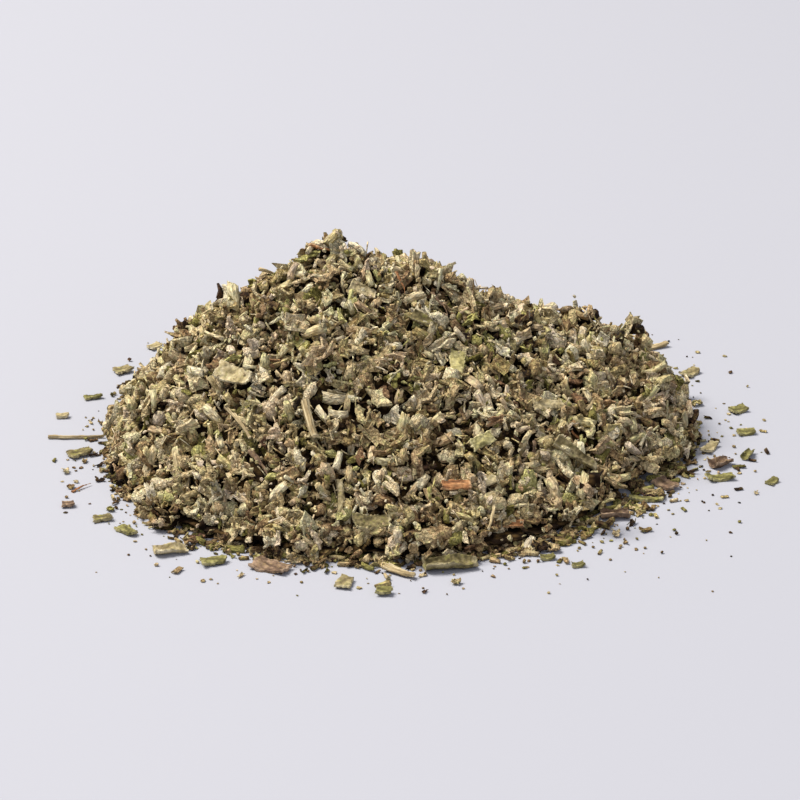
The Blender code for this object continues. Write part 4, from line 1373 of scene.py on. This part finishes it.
@dataclass
class CrumbHeap:
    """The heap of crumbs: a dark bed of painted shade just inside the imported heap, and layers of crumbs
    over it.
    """

    node: str = "leaf_crumb_heap"
    slot: str = "grey_leaf"
    voxel: float = 1.5 * MM
    soften: int = 3
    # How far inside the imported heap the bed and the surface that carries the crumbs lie
    bed_inset: float = 1.7 * MM
    carrier_inset: float = 0.9 * MM
    # How much further in they are at the foot, and how soon that fades upwards
    foot_inset: float = 2.6 * MM
    foot_height: float = 3.0 * MM
    # Faces that look down more steeply than this belong to the underside, not to the foot
    underside: float = -0.7

    layers: tuple[CrumbLayer, ...] = (
        # Painted shade of depth: the bed crumbs, deepest in the heap, take only the darkest tones, and layer
        # a, under layer b, starts darker than b
        CrumbLayer("heap_bed_crumbs", (CrumbKind.KNOB, CrumbKind.CHIP, CrumbKind.CURL), 2.1 * MM,
                   (2.2 * MM, 3.4 * MM), (-1.0 * MM, -0.3 * MM), 0.9, (0.0, 0.32), (0.0, 1.0), 11, 0.9 * MM),
        CrumbLayer("heap_leaf_crumbs_a", (CrumbKind.KNOB, CrumbKind.CRUMPLE, CrumbKind.KNOB,
                                          CrumbKind.CHIP, CrumbKind.ROLL, CrumbKind.CURL), 2.4 * MM,
                   (2.3 * MM, 4.4 * MM), (-0.2 * MM, 1.0 * MM), 1.0, (0.28, 0.92), (0.0, 1.0), 12, 1.2 * MM),
        CrumbLayer("heap_leaf_crumbs_b", (CrumbKind.KNOB, CrumbKind.CRUMPLE, CrumbKind.CRUMPLE,
                                          CrumbKind.CHIP, CrumbKind.ROLL), 2.5 * MM,
                   (2.1 * MM, 4.3 * MM), (0.1 * MM, 1.5 * MM), 1.1, (0.42, 1.0), (0.0, 1.0), 13, 1.2 * MM),
        CrumbLayer("heap_large_cuttings", (CrumbKind.CHIP, CrumbKind.CURL, CrumbKind.ROLL, CrumbKind.CRUMPLE),
                   5.0 * MM, (3.6 * MM, 5.4 * MM), (0.3 * MM, 1.2 * MM), 0.7, (0.4, 0.95), (0.07, 0.98), 14,
                   1.9 * MM),
        CrumbLayer("heap_ribs_and_stalks", (CrumbKind.RIB, CrumbKind.ROLL), 3.9 * MM,
                   (2.2 * MM, 4.8 * MM), (0.5 * MM, 1.5 * MM), 0.8, (0.65, 1.0), (0.07, 0.98), 15, 1.3 * MM),
        CrumbLayer("heap_fine_flakes", (CrumbKind.FLAKE, CrumbKind.GRAIN), 1.15 * MM,
                   (0.7 * MM, 1.7 * MM), (0.1 * MM, 1.7 * MM), 1.5, (0.4, 1.0), (0.0, 1.0), 16, 0.8 * MM),
        CrumbLayer("heap_fine_fibres", (CrumbKind.RIB,), 2.4 * MM,
                   (1.1 * MM, 2.6 * MM), (0.6 * MM, 2.0 * MM), 1.3, (0.55, 1.0), (0.0, 1.0), 18, 0.8 * MM),
        CrumbLayer("heap_foot_crumbs", (CrumbKind.KNOB, CrumbKind.CRUMPLE, CrumbKind.CHIP, CrumbKind.FLAKE,
                                        CrumbKind.GRAIN),
                   1.1 * MM, (1.5 * MM, 3.4 * MM), (0.0 * MM, 1.9 * MM), 1.0, (0.25, 0.95), (0.0, 1.0), 17,
                   0.6 * MM, 0.3 * MM, 3.6 * MM),
    )

    def surface(self, source: bpy.types.Object, inset: float) -> bpy.types.Object:
        """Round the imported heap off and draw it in.

        Args:
            source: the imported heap, which isn't changed.
            inset: how far the result lies inside it.

        Returns:
            A closed object of its own.
        """
        mesh = even_mesh(source, "heap_surface", self.voxel, self.soften)
        bm = bmesh.new()
        bm.from_mesh(mesh)
        bm.normal_update()
        for vert in bm.verts:
            near_foot = math.exp(-vert.co.z / self.foot_height) * (vert.normal.z > self.underside)
            vert.co -= vert.normal * inset * (1.0 + near_foot * self.foot_inset / self.bed_inset)
            vert.co.z = max(vert.co.z, BED_FLOOR)
        bm.to_mesh(mesh)
        bm.free()
        return add_to_scene(bpy.data.objects.new("heap_surface", mesh))

    def build(self, nodes: dict[str, bpy.types.Object], cuttings: Sequence[bpy.types.Object],
              places: PlaceTree, felt: bpy.types.Material) -> list[bpy.types.Object]:
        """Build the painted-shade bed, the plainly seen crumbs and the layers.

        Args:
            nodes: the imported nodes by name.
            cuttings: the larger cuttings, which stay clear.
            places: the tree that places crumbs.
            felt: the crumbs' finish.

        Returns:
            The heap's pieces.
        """
        source = nodes[self.node]
        # The bed is a dark sheet of painted shade under the crumbs
        bed = self.surface(source, self.bed_inset)
        bed.name = "heap_inner_bed"
        dress(bed.data, PaintedShadeBedFinish().make())
        carrier = self.surface(source, self.carrier_inset)
        seen = SeenCrumbs().build(carrier, places, felt)
        helper = joined_copy((*cuttings, seen))
        pieces = [bed, seen]
        tree = ScatterTree()
        for layer in self.layers:
            crumbs = CrumbShapes(seed=layer.seed).make(layer.name + "_forms", layer.kinds)
            pieces.append(tree.strew(layer, carrier.data, crumbs, helper, felt))
        for spare in (carrier, helper):
            bpy.data.objects.remove(spare, do_unlink=True)
        for piece in pieces:
            hand_over(piece, self.node)
        return pieces


# Larger cuttings


class CuttingForm(Enum):
    """How a larger cutting is made finer."""

    LEAF = "leaf"
    STEM = "stem"


@dataclass(frozen=True)
class LargerCutting:
    """The finer piece for one packed cutting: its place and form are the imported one's own."""

    node: str
    slot: str
    voxel: float = 0.17 * MM
    soften: int = 2
    # How much is taken off all over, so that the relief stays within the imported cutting
    thinner: float = 0.13 * MM
    # A leaf's pebbles, how high they stand, how far its rim is torn and how far its blade waves
    pebble: float = 0.6 * MM
    relief: float = 0.16 * MM
    rough: float = 0.08 * MM
    ragged: float = 0.42 * MM
    wavy: float = 0.36 * MM
    # How wide its coarse and fine tears and its waves are, and where its rim starts and is full
    tear: float = 0.9 * MM
    fine_tear: float = 0.35 * MM
    wave: float = 2.2 * MM
    rim_from: float = 0.74
    rim_wide: float = 0.16
    # A stem's coarse and fine ridges, how drawn out they are, and where its cut end starts
    ridge: float = 0.12 * MM
    fine_ridge: float = 0.05 * MM
    drawn: float = 0.16
    end_from: float = 0.93
    # A cutting that reaches lower than this rests on the surface
    rests_below: float = 0.05 * MM

    @property
    def form(self) -> CuttingForm:
        """Whether it is flat and torn like leaf and bark, or a stem, by its slot."""
        return CuttingForm.STEM if self.slot.endswith("stem") else CuttingForm.LEAF

    def axes(self, points: np.ndarray) -> tuple[np.ndarray, np.ndarray]:
        """Find the cutting's middle and its own length, width and thickness directions.

        Args:
            points: the cutting's points.

        Returns:
            The middle, and a matrix whose columns are the three directions.
        """
        middle = points.mean(axis=0)
        _, vectors = np.linalg.eigh(np.cov((points - middle).T))
        return middle, vectors[:, ::-1]

    def carve(self, mesh: bpy.types.Mesh, own: np.ndarray, axes: np.ndarray, resting: bool) -> np.ndarray:
        """Give the mesh a leaf's relief, torn rim and waves, or a stem's ridges.

        Args:
            mesh: the cutting's fine mesh, which is changed.
            own: its points along its own three directions, from its middle.
            axes: those directions, as columns.
            resting: whether it rests on the surface, which it then stays above.

        Returns:
            For each point how close it is to a cut edge, from 0 to 1.
        """
        reach = np.abs(own).max(axis=0)
        # Its own place in the noise, by the end of its name
        shift = Vector([float(ord(letter)) for letter in self.node[-3:]])
        rim = np.zeros(len(own))
        bm = bmesh.new()
        bm.from_mesh(mesh)
        bm.normal_update()
        for i, vert in enumerate(bm.verts):
            u, v, w = own[i]
            if self.form is CuttingForm.LEAF:
                spot = Vector((u, v, 0.35 * w)) / self.pebble
                cells = noise.voronoi(spot + shift)[0]
                rise = self.relief * (0.6 - 1.2 * cells[0]) + self.rough * noise.noise(spot * 2.7 + shift)
                out = max(abs(u) / reach[0], abs(v) / reach[1])
                rim[i] = min(max((out - self.rim_from) / self.rim_wide, 0.0), 1.0)
                flat = Vector((u, v, 0.0))
                torn = noise.noise(flat / self.tear + shift)
                torn += 0.6 * noise.noise(flat / self.fine_tear + shift)
                outward = Vector(axes @ (own[i] * (1.0, 1.0, 0.0)))
                vert.co += outward.normalized() * self.ragged * rim[i] * (torn - 0.35)
                wave = noise.noise(flat / self.wave + shift * 1.7)
                vert.co += Vector(axes[:, 2]) * self.wavy * wave
            else:
                spot = Vector((self.drawn * u, v, w)) / (0.4 * self.pebble)
                rise = self.ridge * noise.noise(spot + shift) + self.fine_ridge * noise.noise(spot * 2.4)
                rim[i] = abs(u) / reach[0] > self.end_from
            vert.co += vert.normal * (rise - self.thinner)
            if resting:
                vert.co.z = max(vert.co.z, 0.0)
        bm.to_mesh(mesh)
        bm.free()
        return rim

    def build(self, source: bpy.types.Object, material: bpy.types.Material) -> bpy.types.Object:
        """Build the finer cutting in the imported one's place.

        Args:
            source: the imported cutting.
            material: its finish.

        Returns:
            The finer cutting.
        """
        mesh = even_mesh(source, self.node + "_rough", self.voxel, self.soften)
        points = np.zeros(3 * len(mesh.vertices))
        mesh.vertices.foreach_get("co", points)
        points = points.reshape(-1, 3)
        middle, axes = self.axes(points)
        own = (points - middle) @ axes
        rim = self.carve(mesh, own, axes, float(points[:, 2].min()) < self.rests_below)
        grain = mesh.attributes.new("grain", "FLOAT_VECTOR", "POINT")
        grain.data.foreach_set("vector", own.astype(np.float32).ravel())
        edge = mesh.attributes.new("rim", "FLOAT", "POINT")
        edge.data.foreach_set("value", rim.astype(np.float32))
        dress(mesh, material)
        piece = add_to_scene(bpy.data.objects.new(self.node + "_fine", mesh))
        hand_over(piece, self.node)
        return piece


@dataclass
class Cuttings:
    """All the larger cuttings, on the heap and round its foot."""

    heap_node: str = "leaf_crumb_heap"

    def build(self, frame: dict[str, object]) -> list[bpy.types.Object]:
        """Build every finer cutting.

        Args:
            frame: the loaded frame.

        Returns:
            The cuttings.
        """
        finishes = {name: finish.make() for name, finish in CUTTING_FINISHES.items()}
        pieces = []
        for row in frame["record"]["subparts"]:
            if row["node"] == self.heap_node:
                continue
            cutting = LargerCutting(row["node"], row["material_slot"])
            pieces.append(cutting.build(frame["nodes"][cutting.node], finishes[cutting.slot]))
        return pieces


# Loose crumbs on the surface


@dataclass
class FloorCrumbs:
    """Fine crumbs strewn on the surface round the heap."""

    name: str = "loose_fine_crumbs"
    slot: str = "olive_leaf"
    seed: int = 31
    per_kind: int = 6
    # The forms of the coarser crumbs, and those of the crumbs shorter than fine
    coarse_kinds: tuple[CrumbKind, ...] = (CrumbKind.CHIP, CrumbKind.CRUMPLE, CrumbKind.ROLL)
    fine_kinds: tuple[CrumbKind, ...] = (CrumbKind.FLAKE, CrumbKind.GRAIN)
    fine: float = 1.2 * MM
    # Where the photograph shows single crumbs: x, y and size in mm
    seen: tuple[tuple[float, float, float], ...] = (
        (58.6, -8.5, 3.6), (56.7, -5.4, 2.5), (60.0, -12.5, 2.2), (-9.1, -58.7, 4.0), (61.3, 11.4, 3.6),
        (-2.8, -60.6, 2.5), (-31.1, -52.7, 2.2), (27.7, -50.8, 2.5), (-56.8, -28.5, 2.2),
        (24.7, -50.0, 1.8), (65.2, -17.2, 2.2), (-36.8, -54.6, 2.2), (41.9, -39.0, 2.2),
        (21.8, -47.3, 2.2), (-59.1, -14.6, 1.6), (-26.1, -50.0, 1.6), (47.5, -26.9, 1.6),
        (65.8, -5.9, 1.6), (62.1, -23.5, 1.4), (38.0, -43.4, 1.6), (66.0, 3.5, 1.4), (56.5, -25.2, 1.4),
        (-3.8, -55.0, 1.3), (20.7, -51.2, 1.1), (-6.7, -60.9, 1.1), (54.7, -1.0, 1.3),
        (-56.9, -18.9, 1.1), (-57.1, 5.8, 0.9), (66.7, 8.6, 1.1), (43.1, -32.6, 1.1), (30.9, -33.8, 1.3),
        (-32.5, -58.3, 1.1), (-57.9, -12.5, 0.9), (-59.4, -18.5, 0.7), (55.3, -29.8, 0.9),
        (5.3, -54.2, 0.9), (-31.2, -57.6, 0.7), (34.1, -43.4, 0.9), (33.8, -46.5, 0.7),
        (32.5, -45.4, 0.7), (41.2, -45.7, 0.7), (-1.7, -56.1, 0.7), (37.0, -45.7, 0.7),
        (60.1, 16.5, 0.7), (62.8, -14.2, 0.7), (48.5, -18.5, 1.1), (52.7, -27.3, 0.7), (51.7, -0.1, 0.9),
        (0.7, -54.6, 0.7), (1.5, -55.3, 0.5), (58.4, 1.3, 0.7), (24.4, -46.1, 0.7), (28.2, -43.0, 0.7),
        (-30.0, -59.1, 0.5),
    )
    # The heap's outline: its middle, half width and half depths, and how square each corner is
    middle_x: float = 0.75 * MM
    half_width: float = 52.75 * MM
    half_front: float = 52.5 * MM
    half_rear: float = 50.0 * MM
    square_front_right: float = 1.75
    square_front_left: float = 2.4
    square_rear: float = 2.3
    # How many are tried close to the foot and farther out
    at_foot: int = 1300
    strewn: int = 640
    # How much busier the right is than the left, and how clear and how wide its calm right end is
    busier: float = 0.4
    calm: float = 1.1
    calm_wide: float = 0.12
    least_fringe: float = 0.1
    # In mm: how far out crumbs at the foot start, how much farther they run, and their length,
    # which falls to nothing this far out
    foot_out: tuple[float, float] = (-5.5, 0.2)
    foot_run: float = 6.0
    foot_size: tuple[float, float] = (1.1, 3.0)
    foot_shrink: float = 12.0
    # In mm: the least length of a strewn crumb, and how much longer it may be
    strewn_least: float = 0.35
    strewn_more: float = 1.3
    # How fast crumbs get fewer with each mm out, at the foot and farther out, and with each mm longer
    foot_fall: float = 0.8
    strewn_fall: float = 0.18
    size_fall: float = 2.4
    # Shades and hues of the seen crumbs and of the others; on the right most keep to the greener hues
    seen_tone: tuple[float, float] = (0.2, 0.75)
    seen_hue: tuple[float, float] = (0.0, 0.6)
    tone: tuple[float, float] = (0.05, 0.72)
    hue: tuple[float, float] = (-0.1, 1.02)
    greener_hue: float = 0.5
    greener_share: float = 0.8
    # The share of a crumb's length within which it would touch a larger cutting
    touch: float = 0.45

    def outline(self, angle: float) -> float:
        """Return how far the heap's foot reaches from its middle in one direction."""
        ahead, side = math.sin(angle), math.cos(angle)
        if ahead < 0.0:
            power = self.square_front_right if side > 0.0 else self.square_front_left
            depth = self.half_front
        else:
            power, depth = self.square_rear, self.half_rear
        return (abs(side / self.half_width) ** power + abs(ahead / depth) ** power) ** (-1.0 / power)

    def spots(self, low: Vector, high: Vector) -> list[tuple[float, float, float, float, float]]:
        """Choose where the crumbs lie.

        Args:
            low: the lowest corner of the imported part.
            high: its highest corner.

        Returns:
            For each crumb its x, y, size, tone and hue.
        """
        rng = random.Random(self.seed)
        chosen = [(x * MM, y * MM, size * MM, rng.uniform(*self.seen_tone), rng.uniform(*self.seen_hue))
                  for x, y, size in self.seen]
        for number in range(self.at_foot + self.strewn):
            angle = rng.uniform(0.0, 2.0 * math.pi)
            # More of them on the right, where the heap ran out, but few close beside its right end
            busy = 1.0 + self.busier * math.cos(angle)
            if number < self.at_foot:
                off_right = angle - 2.0 * math.pi * (angle > math.pi)
                fringe = busy - self.calm * math.exp(-off_right ** 2 / self.calm_wide)
                start = rng.uniform(*self.foot_out)
                run = min(rng.expovariate(self.foot_fall), self.foot_run)
                out = start + run * max(fringe, self.least_fringe)
                size = rng.uniform(*self.foot_size) * (1.0 - max(out, 0.0) / self.foot_shrink)
            else:
                out = rng.expovariate(self.strewn_fall) * busy
                size = self.strewn_least + min(rng.expovariate(self.size_fall), self.strewn_more)
            reach = self.outline(angle) + out * MM
            x = self.middle_x + reach * math.cos(angle)
            y = reach * math.sin(angle)
            length = size * MM
            tone = rng.uniform(*self.tone)
            greener = math.cos(angle) > 0.5 and rng.random() < self.greener_share
            hue = rng.uniform(self.hue[0], self.greener_hue if greener else self.hue[1])
            if low.x + length < x < high.x - length and low.y + length < y < high.y - length:
                chosen.append((x, y, length, tone, hue))
        return chosen

    def build(self, packed: tuple[Vector, Vector], cuttings: Sequence[bpy.types.Object],
              tree: PlaceTree, felt: bpy.types.Material) -> bpy.types.Object:
        """Strew the crumbs.

        Args:
            packed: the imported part's lowest and highest corners.
            cuttings: the larger cuttings, under which no crumb is set.
            tree: the tree that places crumbs.
            felt: their finish.

        Returns:
            The piece.
        """
        rng = random.Random(self.seed + 1)
        helper = joined_copy(cuttings)
        near = face_tree(helper.data)
        bpy.data.objects.remove(helper, do_unlink=True)
        kinds = (*self.coarse_kinds, *self.fine_kinds)
        placed = []
        for x, y, size, tone, hue in self.spots(*(Vector(corner) for corner in packed)):
            spot = Vector((x, y, BED_FLOOR))
            turn = Euler((0.0, 0.0, rng.uniform(0.0, 2.0 * math.pi)))
            kind = rng.choice(self.fine_kinds if size < self.fine else self.coarse_kinds)
            form = pick_form(kinds, kind, self.per_kind, rng)
            if near.find_nearest(spot, self.touch * size)[0] is None:
                placed.append(SetCrumb(spot, turn, size, form, tone, hue))
        forms = CrumbShapes(self.seed, self.per_kind, True).make(self.name + "_forms", kinds)
        piece = tree.place(self.name, placed, forms, felt)
        hand_over(piece)
        return piece


# The studio


@dataclass
class Studio:
    """A pale seamless floor, a soft key from the upper left and the photograph's viewpoint."""

    elevation: float = math.radians(23.0)
    distance: float = 0.6
    aim: tuple[float, float, float] = (0.0, 0.0, 7.8 * MM)
    lens: float = 150.0
    sensor: float = 36.0
    floor_colour: str = "#A3A5AF"
    floor_half: float = 3.0
    # Both lights are soft discs, and the rest of the light is the room's own
    light_wide: float = 1.2
    key_place: tuple[float, float, float] = (-1.0, 0.3, 1.75)
    key_power: float = 80.0
    key_colour: str = "#FFF9EE"
    fill_place: tuple[float, float, float] = (0.5, -1.2, 0.8)
    fill_power: float = 5.0
    fill_colour: str = "#F4F6FF"
    room_colour: str = "#EFEFF6"
    room_strength: float = 0.47

    def build(self) -> None:
        """Add the camera, the floor, the lights and the world."""
        self.add_camera()
        self.add_floor()
        self.add_lights()
        self.set_world()

    def add_camera(self) -> None:
        """Add the camera at the photograph's viewing angle."""
        data = bpy.data.cameras.new("photo_camera")
        data.lens = self.lens
        data.sensor_width = self.sensor
        data.clip_start = 0.01
        data.clip_end = 20.0
        camera = add_to_scene(bpy.data.objects.new("photo_camera", data))
        forward = Vector((0.0, math.cos(self.elevation), -math.sin(self.elevation)))
        camera.location = Vector(self.aim) - forward * self.distance
        camera.rotation_euler = forward.to_track_quat("-Z", "Y").to_euler()
        bpy.context.scene.camera = camera

    def add_floor(self) -> None:
        """Add the plain pale floor."""
        bm = bmesh.new()
        bmesh.ops.create_grid(bm, x_segments=1, y_segments=1, size=self.floor_half)
        floor = add_to_scene(object_from(bm, "pale_floor"))
        material, shader = start_material("pale_paper", roughness=0.7, specular=0.2)
        shader.inputs["Base Color"].default_value = linear(self.floor_colour)
        floor.data.materials.append(material)
        floor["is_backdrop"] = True

    def add_light(self, name: str, place: tuple[float, float, float], power: float, colour: str) -> None:
        """Add one soft area light that faces the heap.

        Args:
            name: the light's name.
            place: where it stands.
            power: its power in watts.
            colour: its written colour.
        """
        data = bpy.data.lights.new(name, "AREA")
        data.shape = "DISK"
        data.size = self.light_wide
        data.energy = power
        data.color = linear(colour)[:3]
        light = add_to_scene(bpy.data.objects.new(name, data))
        light.location = place
        light.rotation_euler = (-Vector(place)).to_track_quat("-Z", "Y").to_euler()

    def add_lights(self) -> None:
        """Add the key from the upper left, and a weak fill from the front."""
        self.add_light("key_upper_left", self.key_place, self.key_power, self.key_colour)
        self.add_light("fill_front", self.fill_place, self.fill_power, self.fill_colour)

    def set_world(self) -> None:
        """Give the surroundings an even pale light."""
        world = bpy.data.worlds.new("pale_room")
        bpy.context.scene.world = world
        world.use_nodes = True
        back = world.node_tree.nodes["Background"]
        back.inputs["Color"].default_value = linear(self.room_colour)
        back.inputs["Strength"].default_value = self.room_strength
        bpy.context.scene.view_settings.view_transform = "Standard"


def main() -> None:
    """Build the scene in order and report each piece."""
    logging.basicConfig(level=logging.INFO, format="%(name)s: %(message)s")
    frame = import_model()
    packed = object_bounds()
    Studio().build()
    cuttings = Cuttings().build(frame)
    felt = CrumbFelt().make()
    places = PlaceTree()
    CrumbHeap().build(frame["nodes"], cuttings, places, felt)
    FloorCrumbs().build(packed, cuttings, places, felt)


if __name__ == "__main__":
    main()
